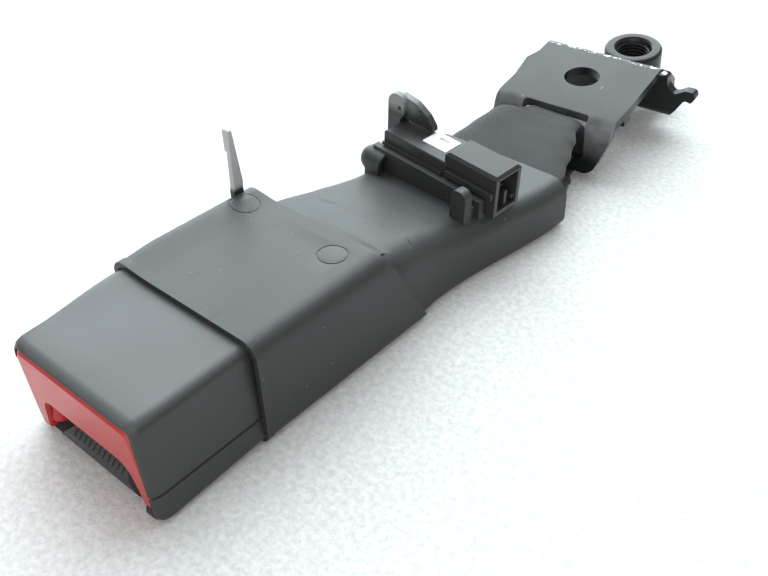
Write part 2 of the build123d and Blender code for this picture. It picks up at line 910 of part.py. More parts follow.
def lock_slider():
    bar = across(
        [
            (lock_bar_front_y, lock_bar_low_z),
            (lock_bar_rear_y, lock_bar_low_z),
            (lock_bar_rear_y, lock_bar_high_z),
            (lock_bar_front_y, lock_bar_high_z),
        ],
        [0.5, 0.5, 0.5, 0.5],
        -lock_bar_half_length,
        lock_bar_half_length,
    )
    finger = across(
        [
            (lock_finger_front_y, lock_bar_high_z),
            (lock_finger_front_y, lock_finger_low_z + lock_finger_chamfer),
            (lock_finger_front_y + lock_finger_chamfer, lock_finger_low_z),
            (lock_bar_front_y + 1.0, lock_finger_low_z),
            (lock_bar_front_y + 1.0, lock_bar_high_z),
        ],
        [0.5, 0.3, 0.3, 0, 0],
        -lock_finger_half,
        lock_finger_half,
    )
    ears = block(8.4, 12.4, lock_bar_front_y - 2.2, lock_bar_front_y + 0.6, lock_bar_low_z, lock_bar_high_z)
    return bar + finger + ears + mirrored(ears)


# ================================================================ ejector
def ejector():
    outline = [
        (-ejector_half_width, ejector_front_y),
        (-ejector_gap_half, ejector_front_y),
        (-ejector_gap_half, ejector_fork_y),
        (ejector_gap_half, ejector_fork_y),
        (ejector_gap_half, ejector_front_y),
        (ejector_half_width, ejector_front_y),
        (ejector_half_width, ejector_rear_y),
        (-ejector_half_width, ejector_rear_y),
    ]
    body = upright(outline, [0.8, 0.8, 1.2, 1.2, 0.8, 0.8, 0.8, 0.8], ejector_low_z, ejector_high_z)
    pocket = block(-10.6, -7.9, -9.6, -1.6, ejector_high_z - 1.4, ejector_high_z + 1)
    body = body - pocket - mirrored(pocket)
    body = body + rod_y(ejector_rear_y - 0.4, ejector_rear_y + 1.8, 0, ejector_spring_z, guide_pin_radius)
    return body


def ejector_spring():
    length = frame_stop_front_y - guide_pin_flange - ejector_rear_y
    spring = coil(ejector_spring_radius, ejector_spring_wire, ejector_spring_turns, length)
    return Pos(0, ejector_rear_y, ejector_spring_z) * Rot(-90, 0, 0) * spring


def spring_guide_pin():
    stop_rear = frame_stop_front_y + frame_stop_thickness
    pin = rod_y(guide_pin_front_y, stop_rear, 0, ejector_spring_z, guide_pin_radius)
    flange_front = frame_stop_front_y - guide_pin_flange
    return pin + rod_y(flange_front, frame_stop_front_y, 0, ejector_spring_z, guide_pin_flange_radius)


# ================================================================ switch
def switch_housing():
    """A small open box behind the latch, above the webbing, clipped to the frame's stop."""
    body = block(switch_x0, switch_x1, switch_front_y, switch_rear_y, switch_low_z, switch_high_z)
    hollow = block(
        switch_x0 + switch_wall, switch_x1 - switch_wall, switch_front_y - 1, switch_rear_y - switch_wall,
        switch_low_z + switch_wall, switch_high_z - switch_wall,
    )
    body = body - hollow
    # legs down to the frame on both sides of the webbing
    for side in (-1, 1):
        x0 = min(side * 10.6, side * 13.0)
        x1 = max(side * 10.6, side * 13.0)
        body = body + block(x0, x1, 20.6, 24.6, frame_base_top_z, switch_low_z + 0.4)
    # entries of the two wires in the rear wall
    for number in (0, 1):
        x = wire_first_x + number * wire_spacing
        body = body - rod_y(switch_rear_y - 3, switch_rear_y + 1, x, wire_start_z, wire_radius + wire_clearance)
    # slots for the wiper's two arms, and the comb that holds the contact blades
    for side in (-1, 1):
        reach = wiper_half_width + wiper_slot_clearance
        body = body - block(
            side * contact_x - reach, side * contact_x + reach, switch_front_y - 1, 30.2,
            switch_low_z - 1, switch_low_z + switch_wall + 0.1,
        )
        comb = block(
            side * contact_x - 2.0, side * contact_x + 2.0, switch_rear_y - switch_wall - 2.2,
            switch_rear_y - switch_wall + 0.2, switch_low_z + switch_wall - 0.2, 17.6,
        )
        body = body + comb
    return body


def switch_contacts():
    """Two sprung blades standing in the comb, bent forward and down at the tip."""
    seat_y = switch_rear_y - switch_wall - 1.0
    blades = []
    for side in (-1, 1):
        path = [
            (seat_y + 0.9, 17.6),
            (seat_y - 7.6, 17.6),
            (seat_y - 9.4, 16.6),
            (seat_y - 9.4, 16.6 + contact_thickness),
            (seat_y - 7.6, 17.6 + contact_thickness),
            (seat_y + 0.9, 17.6 + contact_thickness),
        ]
        x = side * contact_x
        blade = across(path, [0, 0, 0, 0, 0, 0], x - contact_half_width, x + contact_half_width)
        blades.append(blade)
    return blades


def switch_wiper():
    """A two armed strip on the ejector that slides under the contact blades."""
    top = ejector_high_z + wiper_thickness
    arms = [
        (wiper_front_y, ejector_high_z),
        (wiper_rear_y, ejector_high_z),
        (wiper_rear_y, wiper_top_z),
        (wiper_rear_y - wiper_thickness, wiper_top_z),
        (wiper_rear_y - wiper_thickness, top),
        (wiper_front_y, top),
    ]
    x0 = contact_x - wiper_half_width
    arm = across(arms, [0, 0.6, 0, 0, 0, 0], x0, x0 + 2 * wiper_half_width)
    tie = block(-x0 - 0.5, x0 + 0.5, wiper_front_y, ejector_rear_y - 0.4, ejector_high_z, top)
    return arm + mirrored(arm) + tie


# ================================================================ boot
def boot_face(y, half, top, crown_r, base_r, centre, inset):
    points = [
        (centre - half + inset, inset),
        (centre + half - inset, inset),
        (centre + half - inset, top - inset),
        (centre - half + inset, top - inset),
    ]
    low = max(base_r - inset, 0.6)
    high = max(crown_r - inset, 0.6)
    return plane_at(y) * rounded_polygon(points, [low, low, high, high])


def boot_box(inset, y0, y1):
    """The wide part that wraps the covers, a little taller at the rim."""
    return loft(
        [
            boot_face(y0, boot_rim_half, boot_rim_height, boot_rim_radius, boot_base_radius, 0, inset),
            boot_face(y1, boot_shoulder_half, boot_shoulder_height - 0.3, boot_shoulder_radius,
                      boot_base_radius, 0, inset),
        ],
        ruled=True,
    )


def neck_face(y, inset):
    """One section of the neck, at y."""
    height = neck_start_height - neck_fall * ease(y, 42, 86) - neck_late_fall * ease(y, 84, neck_end_y)
    half = neck_start_half - neck_waist * ease(y, 50, 68) + neck_flare * ease(y, 72, neck_end_y)
    centre = neck_start_centre - neck_dip * ease(y, 50, 66) + neck_drift * ease(y, 60, neck_end_y)
    crown_r = neck_start_radius - neck_radius_loss * ease(y, 50, 100)
    return boot_face(y, half, height, crown_r, boot_base_radius, centre, inset)


def boot_neck(inset, before, past):
    """The neck: a flattening tube that drifts towards +X."""
    faces = []
    for number in range(neck_sections + 1):
        y = neck_start_y + number * (neck_end_y - neck_start_y) / neck_sections
        faces.append(neck_face(y, inset))
    body = loft(faces, ruled=True)
    if before > 0:
        body = body + extrude(faces[0], before, dir=(0, -1, 0))
    if past > 0:
        body = body + extrude(faces[-1], past, dir=(0, 1, 0))
    return body


def ring_mark(x, y, top_z, slope, lean):
    """A shallow ring left by an ejector pin."""
    ring = Cylinder(mark_radius, 2 * mark_depth) - Cylinder(mark_radius - mark_groove, 4)
    return Pos(x, y, top_z) * Rot(slope, lean, 0) * ring


def boot_fin():
    fin = across(
        [
            (fin_front_y, 24.0),
            (fin_front_y, fin_top_z),
            (fin_front_y + fin_tip_length, fin_top_z),
            (fin_front_y + fin_foot_length, 28.0),
            (fin_front_y + fin_foot_length, 24.0),
        ],
        [0, 0.35, 0.4, 0, 0],
        fin_x - fin_thickness / 2,
        fin_x + fin_thickness / 2,
    )
    barb = across(
        [
            (fin_front_y, fin_top_z - fin_barb_length),
            (fin_front_y, fin_top_z),
            (fin_front_y + fin_tip_length, fin_top_z),
            (fin_front_y + fin_tip_length + 0.9, fin_top_z - fin_barb_length),
        ],
        [0, 0.35, 0.4, 0],
        fin_x - fin_thickness / 2 - fin_barb,
        fin_x,
    )
    return fin + barb


def holder():
    """Tray, walls, posts and hood that hold the connector on the boot's tail."""
    left = holder_left_u
    right = holder_right_u
    tray = block(left, right, holder_wall_front_v, holder_back_v, holder_root_w, holder_floor_w)
    wall = block(left, right, holder_wall_front_v, holder_wall_rear_v, holder_root_w, holder_wall_top_w)
    back = block(
        left + 6, right, holder_back_v - holder_back_thickness, holder_back_v, holder_root_w, holder_back_top_w
    )
    body = tray + wall + back
    post_mid = (near_post_u0 + near_post_u1) / 2
    post_half = (near_post_u1 - near_post_u0) / 2
    post = facing(
        [
            (near_post_u0, holder_root_w),
            (near_post_u1, holder_root_w),
            (near_post_u1, near_post_top_w),
            (near_post_u0, near_post_top_w),
        ],
        [0, 0, post_half - 0.2, post_half - 0.2],
        near_post_front_v,
        near_post_rear_v,
    )
    post_root = block(post_mid - 1.9, post_mid + 1.9, near_post_rear_v - 0.5, 0.6, holder_root_w, 20.5)
    tab = facing(
        [
            (far_tab_u0, holder_root_w + 7),
            (far_tab_u1, holder_root_w + 7),
            (far_tab_u1, strut_foot_w),
            (far_tab_crown_u, strut_foot_w + 1.6),
            (far_tab_crown_u, far_tab_top_w),
            (far_tab_u0, far_tab_top_w),
        ],
        [1.5, 0, 0.8, 0.8, 2.2, 3.4],
        far_tab_front_v,
        far_tab_front_v + far_tab_thickness,
    )
    tab_root = block(
        far_tab_u0 + 1.0, left + 1.0, far_tab_front_v - 2.5, far_tab_front_v + 3.5,
        holder_root_w + 3, holder_floor_w,
    )
    strut = facing(
        [
            (far_tab_u1 - 1.8, 19.0),
            (far_tab_u1 - 1.8, far_tab_top_w - 0.4),
            (far_tab_crown_u + 3.2, far_tab_top_w - 1.2),
            (strut_foot_u - 2.4, strut_foot_w + 4.0),
            (strut_foot_u, strut_foot_w + 1.2),
            (strut_foot_u, strut_foot_w),
            (far_tab_u1, strut_foot_w),
            (far_tab_u1, 19.0),
        ],
        [0, 1.0, 3.0, 3.0, 1.0, 0, 0.6, 0],
        far_tab_front_v + far_tab_thickness - 0.4,
        far_tab_front_v + far_tab_thickness + strut_thickness,
    )
    eye = rod_y(5, 20, far_tab_u1 - 0.4, strut_foot_w + 3.4, 0.7)
    body = body + post + post_root + tab + tab_root + strut - eye
    hood = rod_x(hood_left_u + hood_radius, hood_right_u, hood_v, hood_w, hood_radius)
    hood = hood + Pos(hood_left_u + hood_radius, hood_v, hood_w) * Sphere(hood_radius)
    hood = hood + block(hood_left_u + hood_radius, hood_right_u, hood_v - hood_radius, hood_v + hood_radius,
                        holder_root_w, hood_w)
    hood = hood - block(conn_left_u - 0.2, 0, conn_near_v - 0.1, 10, holder_floor_w, 40)
    hood = hood - rod_x(hood_right_u - 2.6, hood_right_u + 1, hood_v, hood_w, hood_bore_radius)
    return body + hood


def boot():
    shell = boot_box(0, 0, 62.0)
    behind = across(
        [
            (boot_shoulder_y, 60),
            (boot_shoulder_y, boot_shoulder_height - 0.1),
            (boot_shoulder_y + 4.6, 20.0),
            (boot_shoulder_foot_y, -1.0),
            (100, -1.0),
            (100, 60),
        ],
        [0, 0, 6.0, 0, 0, 0],
        -40,
        40,
    )
    shell = shell - behind
    # the rim is a raised band
    band = boot_box(-boot_rim_step, 0, 62.0) & block(-40, 40, 0, boot_rim_band, 0, 60)
    shell = shell + band
    neck = boot_neck(0, 0, 0)
    # low shelf behind the shoulder
    shelf = across(
        [
            (neck_start_y, 20.0),
            (neck_start_y, shelf_top_z),
            (shelf_rear_y - 1.4, shelf_top_z - 0.3),
            (shelf_rear_y, 24.0),
            (shelf_rear_y, 20.0),
        ],
        [0, 0, 0.8, 0.8, 0],
        shelf_left_x,
        shelf_right_x,
    )
    body = shell + neck + shelf + to_tail(holder()) + boot_fin()
    hollow = boot_box(boot_wall, -6.0, 62.0) & block(-40, 40, -8, 40.0, -5, 60)
    throat = boot_neck(neck_wall, 1.0, 2.0)
    body = body - hollow - throat
    # the two holes that the switch wires climb through, into the connector
    for u, v in zip(riser_u, riser_v):
        body = body - to_tail(rod_z(8.0, holder_floor_w + 1, u, v, wire_radius + wire_clearance))
    for x, y in ((13.6, 35.4), (-18.0, 36.6)):
        body = body - ring_mark(x, y, 29.15, -1.2, 0)
    body = body - ring_mark(-10.1, 59.9, 23.1, -14.0, 0)
    return body - ring_mark(19.2, 61.4, 21.6, -13.0, 24.0)


# ================================================================ connector
def connector_housing():
    left = block(conn_left_u, conn_step_u + 1, conn_near_v, conn_far_v - 0.6, conn_low_w, conn_left_top_w)
    left = chamfer(left.edges().group_by(Axis.Z)[-1], 0.35)
    right = block(conn_step_u, conn_right_u, conn_near_v + 0.3, conn_far_v, conn_low_w, conn_right_top_w)
    right = chamfer(right.edges().group_by(Axis.Z)[-1], 0.8)
    body = left + right
    socket = block(
        conn_socket_floor_u, conn_right_u + 1, conn_near_v + 0.3 + conn_wall, conn_far_v - conn_wall,
        conn_low_w + conn_wall, conn_right_top_w - conn_wall,
    )
    body = body - socket
    # keying ribs inside the socket
    rib_u0 = conn_socket_floor_u - 0.5
    rib_w0 = conn_low_w + 1.1
    near_key = block(rib_u0, conn_right_u - 0.6, conn_near_v + 1.2, conn_near_v + 2.4, rib_w0, rib_w0 + 1.2)
    far_key = block(rib_u0, conn_right_u - 0.6, conn_far_v - 2.4, conn_far_v - 1.0, 19.6, 20.8)
    # upright rib between the two blades
    middle = (riser_v[0] + riser_v[1]) / 2
    half = conn_rib_thickness / 2
    rib = block(rib_u0, conn_right_u - 0.8, middle - half, middle + half, rib_w0, conn_rib_top_w)
    body = body + near_key + far_key + rib
    # groove for the coloured insert
    body = body - block(
        conn_insert_u0, conn_insert_u1, conn_insert_front_v, conn_insert_rear_v + 2,
        conn_left_top_w - conn_insert_depth, conn_left_top_w + 1,
    )
    # side rail
    body = body + block(conn_left_u, conn_step_u - 0.4, conn_near_v - 0.9, conn_near_v + 0.5, 22.7, 23.6)
    # wire entries in the underside, and the seats of the two blades
    for u, v in zip(riser_u, riser_v):
        body = body - rod_z(conn_low_w - 1, terminal_w, u, v, wire_radius + wire_clearance)
        body = body - block(
            u - terminal_heel, conn_socket_floor_u + 1, v - terminal_width / 2, v + terminal_width / 2,
            terminal_w - terminal_thickness / 2, terminal_w + terminal_thickness / 2,
        )
    return body


def connector_terminals():
    blades = []
    for u, v in zip(riser_u, riser_v):
        blade = block(
            u - terminal_heel, terminal_tip_u, v - terminal_width / 2, v + terminal_width / 2,
            terminal_w - terminal_thickness / 2, terminal_w + terminal_thickness / 2,
        )
        blade = chamfer(blade.edges().group_by(Axis.X)[-1], 0.25)
        blades.append(blade)
    return blades


def connector_insert():
    floor = conn_left_top_w - conn_insert_depth
    top = conn_left_top_w + 0.15
    body = block(conn_insert_u0, conn_insert_u1, conn_insert_front_v, conn_insert_rear_v, floor, top)
    return body - block(-7.6, -4.4, 10.4, 11.4, conn_left_top_w - 0.5, conn_left_top_w + 1)


def connector_lock():
    """The secondary lock: a bar along the near side of the socket's block."""
    near = conn_near_v + 0.3
    return block(
        conn_step_u + 1.2, conn_right_u - 0.6, near - conn_lock_thickness, near, conn_lock_low_w, conn_lock_high_w
    )


# ================================================================ anchor bracket
def anchor_bracket():
    low = plate_top_w - sheet
    # horizontal thickness of the leaning flange, and where its rear face meets the plate
    slope = flange_lean / (plate_top_w - flange_foot_w)
    across_flange = sheet * (1 + slope * slope) ** 0.5
    # side view of plate, front flange and rear web, bent from one sheet
    profile = [
        (-flange_lean, flange_foot_w),
        (across_flange - flange_lean, flange_foot_w),
        (across_flange - slope * sheet, low),
        (plate_rear_v - sheet, low),
        (plate_rear_v - sheet, foot_top_w - sheet),
        (foot_rear_v, foot_top_w - sheet),
        (foot_rear_v, foot_top_w),
        (plate_rear_v, foot_top_w),
        (plate_rear_v, plate_top_w),
        (0, plate_top_w),
    ]
    radii = [0, 0, bend_inner_radius, bend_inner_radius, bend_radius, 0, 0, bend_inner_radius,
             bend_radius, bend_radius]
    body = across(profile, radii, -30, 40)
    # plan of the plate, the web and the foot
    plan = [
        (plate_left_u, -10),
        (plate_left_u, 12.0),
        (plate_bulge_u, plate_bulge_v),
        (plate_left_u, plate_bulge_end_v),
        (plate_left_u, plate_rear_v + 0.8),
        (foot_left_u, plate_rear_v + 8.0),
        (foot_left_u, foot_rear_v),
        (foot_right_u, foot_rear_v),
        (foot_right_u, plate_rear_v + 0.6),
        (hook_tip_u + 2, plate_rear_v + 0.6),
        (hook_tip_u + 2, plate_rear_v - sheet - 0.4),
        (plate_right_u, plate_rear_v - sheet - 1.0),
        (plate_right_u + 0.6, 12.0),
        (plate_right_u, -10),
    ]
    plan_r = [0, 8.0, 2.0, 1.0, 1.2, 2.0, foot_corner, foot_corner, 0, 0, 0, 0, 4.0, 0]
    body = body & upright(plan, plan_r, -4, 30)
    # front view: the arms taper a little and round into the bar
    front_cut = facing(
        [(-32, -6), (42, -6), (42, 14.0), (plate_right_u + 0.6, 14.0), (flange_foot_right_u, flange_foot_w),
         (flange_foot_left_u, flange_foot_w), (plate_left_u - 1.4, 14.0), (-32, 14.0)],
        [0, 0, 0, 2.0, flange_foot_radius, flange_foot_radius, 2.0, 0],
        -12,
        sheet + 1.5,
    )
    body = body - front_cut
    # rear view: the web carries an ear and a hook on its right edge and narrows to the foot
    web_right = facing(
        [
            (plate_right_u, 40),
            (plate_right_u, plate_top_w - 1.0),
            (ear_u, ear_w),
            (ear_neck_u, ear_neck_w),
            (web_corner_u + 1.2, hook_root_w),
            (hook_tip_u - 3.6, hook_top_w),
            (hook_tip_u - 0.6, hook_top_w),
            (hook_tip_u, hook_tip_w),
            (hook_tip_u - 1.4, hook_low_w),
            (hook_tip_u - 3.4, hook_low_w + 1.0),
            (web_corner_u + 2.2, 4.0),
            (web_corner_u, 0.8),
            (foot_right_u, -0.6),
            (foot_right_u, -6),
            (60, -6),
            (60, 40),
        ],
        [0, 0.6, 1.6, 2.6, 1.6, 1.4, 1.2, 0.9, 0.9, 1.4, 3.0, 1.4, 0, 0, 0, 0],
        plate_rear_v - sheet - 1.0,
        plate_rear_v + 1.0,
    )
    web_left = facing(
        [
            (-32, -6),
            (web_foot_left_u, -6),
            (web_foot_left_u, 1.0),
            (plate_left_u, web_taper_w),
            (-32, web_taper_w),
        ],
        [0, 0, 3.0, 3.0, 0],
        plate_rear_v - sheet - 2.0,
        plate_rear_v + 1.0,
    )
    body = body - web_right - web_left
    # webbing slot through the flange and into the bend
    slot = facing(
        [(slot_foot_left_u, slot_low_w), (slot_foot_right_u, slot_low_w), (slot_right_u, slot_high_w),
         (slot_left_u, slot_high_w)],
        [1.8, 1.8, slot_corner, slot_corner],
        -12,
        sheet + 0.6,
    )
    lead = upright(
        [(slot_left_u, -3), (slot_right_u, -3), (slot_right_u, slot_lead_v), (slot_left_u, slot_lead_v)],
        [0, 0, 1.1, 1.1],
        slot_high_w - 4.0,
        plate_top_w + 1,
    )
    body = body - slot - lead
    body = body - rod_z(low - 1, plate_top_w + 1, bolt_hole_u, bolt_hole_v, bolt_hole_radius)
    body = body - rod_z(-5, foot_top_w + 1, boss_u, boss_v, boss_pilot_radius)
    # lanced tab under the right edge
    tab = block(19.0, 20.8, side_tab_front_v, side_tab_rear_v, side_tab_low_w, low + 0.5)
    return body + tab


def weld_boss():
    boss = rod_z(foot_top_w, boss_top_w, boss_u, boss_v, boss_radius)
    boss = chamfer(boss.edges().group_by(Axis.Z)[-1], boss_chamfer)
    boss = chamfer(boss.edges().group_by(Axis.Z)[0], boss_chamfer)
    pilot = rod_z(foot_top_w - sheet, foot_top_w + 0.5, boss_u, boss_v, boss_pilot_radius)
    boss = boss + pilot
    boss = boss - rod_z(-6, boss_top_w + 2, boss_u, boss_v, boss_bore_radius)
    mouth_edges = boss.edges().filter_by(GeomType.CIRCLE)
    bore_edges = [e for e in mouth_edges if abs(e.radius - boss_bore_radius) < 0.01]
    return chamfer(bore_edges, 0.7)


# ================================================================ webbing
def webbing():
    """One belt looped round the frame's rear bar and round the bracket's bar."""
    half = web_thickness
    outline = [
        (web_loop_front_y, web_loop_low_z),
        (web_loop_front_y, web_loop_high_z),
        (36.4, web_loop_high_z),
        (web_join_front_y, web_join_front_z + half),
        (web_join_rear_y, web_join_rear_z + half),
        (web_crest_y, web_crest_z),
        (web_dive_y, web_dive_z),
        (web_loop_end_y, web_loop_end_z),
        (web_floor_y, web_floor_z),
        (137.0, web_floor_z),
        (web_join_rear_y, web_join_rear_z - half),
        (web_join_front_y, web_join_front_z - half),
        (36.4, web_loop_low_z),
    ]
    radii = [2.6, 2.6, 4, 6, 12, 5, 5, 4, 3.0, 8, 12, 6, 4]
    belt = across(outline, radii, -40, 40)
    front_eye = across(
        [
            (web_loop_front_y + half, web_loop_low_z + half),
            (web_loop_front_y + half, web_loop_high_z - half),
            (36.2, web_loop_high_z - half),
            (41.6, web_join_front_z),
            (36.2, web_loop_low_z + half),
        ],
        [1.3, 1.3, 2.5, 0, 2.5],
        -40,
        40,
    )
    rear_eye = across(
        [
            (web_join_rear_y + 5.0, web_join_rear_z + 0.1),
            (web_crest_y - 0.5, web_crest_z - half * 1.08),
            (web_dive_y - half * 1.05, web_dive_z - half * 0.45),
            (web_loop_end_y - half, web_loop_end_z),
            (web_floor_y - half * 0.8, web_floor_z + half),
            (137.4, web_floor_z + half),
        ],
        [0, 3.7, 3.7, 2.7, 1.7, 9],
        -40,
        40,
    )
    plan = upright(
        [
            (-web_frame_half, 20),
            (web_frame_half, 20),
            (web_frame_half, 41),
            (17.6, 66),
            (24.8, 110),
            (26.0, 119.5),
            (20.2, 134.8),
            (web_slot_x1, 141.4),
            (web_slot_x1, 160),
            (web_slot_x0, 160),
            (web_slot_x0, 142.6),
            (-11.8, 141.9),
            (-12.6, 137.0),
            (-15.6, 120.0),
            (-15.8, 110),
            (-16.4, 66),
            (-web_frame_half, 41),
        ],
        [0, 0, 8, 30, 8, 5, 12, 6, 0, 0, 1.0, 1.2, 20, 10, 20, 20, 8],
        -5,
        30,
    )
    belt = (belt - front_eye - rear_eye) & plan
    for row in webbing_stitching():
        belt = belt - row
    return belt


def webbing_stitching():
    """Rows of thread across the joined layers, seen on both faces of the belt."""
    rows = []
    for number in range(stitch_rows):
        y = 56.0 + number * stitch_pitch
        share = (y - web_join_front_y) / (web_join_rear_y - web_join_front_y)
        z = web_join_front_z + share * (web_join_rear_z - web_join_front_z)
        span = web_thickness + stitch_proud
        rows.append(block(-11.0, 11.0, y - 0.35, y + 0.35, z - span, z + span))
    return rows


# ================================================================ wires
def tail_point(u, v, w):
    place = Location((tail_x, tail_y, tail_z), (0, 0, tail_yaw)) * Location((0, 0, 0), (0, tail_roll, 0))
    return (place * Pos(u, v, w)).position


def switch_wires():
    """Two insulated wires from the switch, along the inside of the boot, up into the connector."""
    wires = []
    for number, (u, v) in enumerate(zip(riser_u, riser_v)):
        x = wire_first_x + number * wire_spacing
        points = [
            Vector(x, switch_rear_y - 1.6, wire_start_z),
            Vector(x, wire_bend_y, wire_start_z),
            Vector(x - wire_drift, wire_low_y, wire_low_z),
            tail_point(u, v, wire_foot_w),
            tail_point(u, v, terminal_w - terminal_thickness / 2),
        ]
        path = FilletPolyline(*points, radius=list(wire_bends))
        start = Plane(path @ 0, z_dir=path % 0)
        wire = sweep(start * Circle(wire_radius), path)
        section = 3.14159265 * wire_radius**2
        print("switch wire radii", wire_bends, "length", round(path.length, 1),
              "volume / (section * length)", round(wire.volume / (section * path.length), 4))
        wires.append(wire)
    return wires


# ================================================================ build and export
def export(name, shape):
    solids = shape if isinstance(shape, list) else [shape]
    moved = [Pos(-origin_x, -origin_y, 0) * solid for solid in solids]
    whole = moved[0] if len(moved) == 1 else Compound(children=moved)
    export_step(whole, "parts/" + name + ".step")


def in_tail(shape):
    solids = shape if isinstance(shape, list) else [shape]
    return [to_tail(solid) for solid in solids]


os.makedirs("parts", exist_ok=True)
export("upper_cover", upper_cover())
export("lower_cover", lower_cover())
export("press_button", press_button())
export("button_springs", button_springs())
export("buckle_frame", buckle_frame())
export("latch_pivot_pin", latch_pivot_pin())
export("latch_plate", latch_plate())
export("latch_spring", latch_spring())
export("lock_slider", lock_slider())
export("ejector", ejector())
export("ejector_spring", ejector_spring())
export("spring_guide_pin", spring_guide_pin())
export("switch_housing", switch_housing())
export("switch_contacts", switch_contacts())
export("switch_wiper", switch_wiper())
export("boot", boot())
export("connector_housing", in_tail(connector_housing()))
export("connector_terminals", in_tail(connector_terminals()))
export("connector_insert", in_tail(connector_insert()))
export("connector_lock", in_tail(connector_lock()))
export("switch_wires", switch_wires())
export("webbing", webbing())
export("webbing_stitching", webbing_stitching())
export("anchor_bracket", to_bracket(anchor_bracket()))
export("weld_boss", to_bracket(weld_boss()))
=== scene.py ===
import math

import bmesh
import bpy
from mathutils import Matrix, Vector, noise


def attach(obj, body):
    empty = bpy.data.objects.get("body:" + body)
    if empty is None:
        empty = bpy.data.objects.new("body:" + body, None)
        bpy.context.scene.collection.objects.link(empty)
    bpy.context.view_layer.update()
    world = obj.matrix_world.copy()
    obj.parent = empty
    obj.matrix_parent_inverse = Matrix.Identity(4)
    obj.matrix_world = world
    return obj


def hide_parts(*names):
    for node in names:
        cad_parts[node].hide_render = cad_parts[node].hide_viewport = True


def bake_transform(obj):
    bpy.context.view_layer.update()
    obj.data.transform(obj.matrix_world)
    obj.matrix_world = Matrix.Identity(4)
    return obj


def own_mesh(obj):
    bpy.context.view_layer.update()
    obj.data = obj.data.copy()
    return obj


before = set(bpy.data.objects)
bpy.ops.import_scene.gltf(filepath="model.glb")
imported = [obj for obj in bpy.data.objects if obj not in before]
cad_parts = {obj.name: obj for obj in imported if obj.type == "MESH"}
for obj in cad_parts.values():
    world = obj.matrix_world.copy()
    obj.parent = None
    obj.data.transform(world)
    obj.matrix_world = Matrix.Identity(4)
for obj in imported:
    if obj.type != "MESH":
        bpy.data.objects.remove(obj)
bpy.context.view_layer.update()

# Seat belt buckle. Every place is in the CAD's own millimetres, from the front rim of the boot;
# ORIGIN moves it to the frame's origin, on the floor below the middle of the part. A pair such as
# CROWN_X holds where a smooth change starts and where it is full.
ORIGIN = Vector((4.88, 87.82, 0.0))
MM = 0.001
ALONG, ACROSS, UP = (0, 1, 0), (1, 0, 0), (0, 0, 1)

# edges of more than SOFT_ANGLE degrees are rounded, facets within FLAT_ANGLE merge, and so do
# points within MERGE_DISTANCE metres
SOFT_ANGLE, FLAT_ANGLE = 32.0, 0.6
MERGE_DISTANCE = 2e-6

# bump distance of a moulded or drawn surface, in metres
FINE_GRAIN = 0.00003

# covers: the front edge stands before the CAD's, crown and foot are fuller
NOSE_REACH = 1.9
NOSE_BEFORE_Y = -26.0
LIP_TOP_Z = 8.0
CHEEK_INNER_X = 16.5
LEFT_CHEEK_X, LEFT_CHEEK_Z = (-15.0, -17.0), (24.0, 17.0)
CROWN_SWELL = Vector((-1.3, 0.0, 0.85))
CROWN_X, CROWN_Y, CROWN_Z = (-12.0, -21.0), (-27.0, -2.0), (9.0, 26.0)
FOOT_FLARE = 1.2
FOOT_OUTSIDE_X = 19.0
FOOT_Y, FOOT_Z = (30.0, 2.0), (7.0, 1.0)

# boot: two ring marks, a shelf that fades out on the right, a box swollen along its left edge;
# RING_RADII, RING_FLOOR_Z and SHELF_Y are plain ranges
RING_MARKS = ((-18.0, 36.6), (13.6, 35.4))
RING_RADII, RING_FLOOR_Z = (3.4, 4.0), (28.8, 29.0)
RING_FILL = 0.25
TOP_SLOPE = 0.0209
SHELF_Y, SHELF_X = (44.0, 49.0), (12.0, 19.0)
SHELF_ABOVE_Z, SHELF_FOOT_Z = 25.0, 24.9
SHELF_FADE = 0.8
BOX_SWELL = Vector((-1.0, 0.0, 1.2))
BOX_X, BOX_Z, BOX_TOP_Z = (-12.0, -23.0), (8.0, 27.0), (34.0, 30.5)
BOX_FRONT_Y, BOX_REAR_Y = (0.0, 12.0), (60.0, 44.0)
RIM_SHARE = 0.55

# the boot's bent tab is paler than the rest, and the thin fin is painted pale for the light that comes
# through it
TAB_Z, TAB_X = (31.5, 34.5), (-8.12, -13.62)
FIN_Z, FIN_Y = (31.0, 32.5), (47.82, 43.82)

# bracket, with its own frame: u to the right, v to the rear, w up
BRACKET_PLACE = (4.4, 147.0, 0.6)
BRACKET_YAW, BRACKET_PITCH = 5.0, 6.5
CHIPS_V, CHIPS_W = (34.2, 34.8), (16.5, 17.0)
# the next two bound the painted sheen over the front bend, in millimetres along the bracket's v and w
SHEEN_V, SHEEN_W = (3.0, -1.0), (6.0, 16.5)

# weld boss on the bracket: a pilot in the plate's hole, a body that sits on the plate; its thread
# has THREAD_STEPS to a turn and runs out over THREAD_RUN_OUT of them
BOSS_U, BOSS_V = 5.5, 48.8
BOSS_LOW, BOSS_SEAT, BOSS_HIGH = -0.4, 2.6, 15.6
BOSS_RADIUS, PILOT_RADIUS = 9.7, 6.6
SEAT_ROUND, CROWN_ROUND, MOUTH_ROUND = 0.7, 1.3, 0.5
MOUTH_CHAMFER = 1.2
FOOT_CHAMFER, FOOT_CHAMFER_RISE = 0.4, 0.6
THREAD_ROOT, THREAD_CREST, THREAD_SINK = 5.56, 5.05, 0.02
THREAD_PITCH, THREAD_STEPS, THREAD_RUN_OUT = 1.27, 40, 20.0
THREAD_FOOT_GAP, THREAD_MOUTH_GAP = 0.7, 1.1
THREAD_HALF_FOOT, THREAD_HALF_TIP = 0.5, 0.10

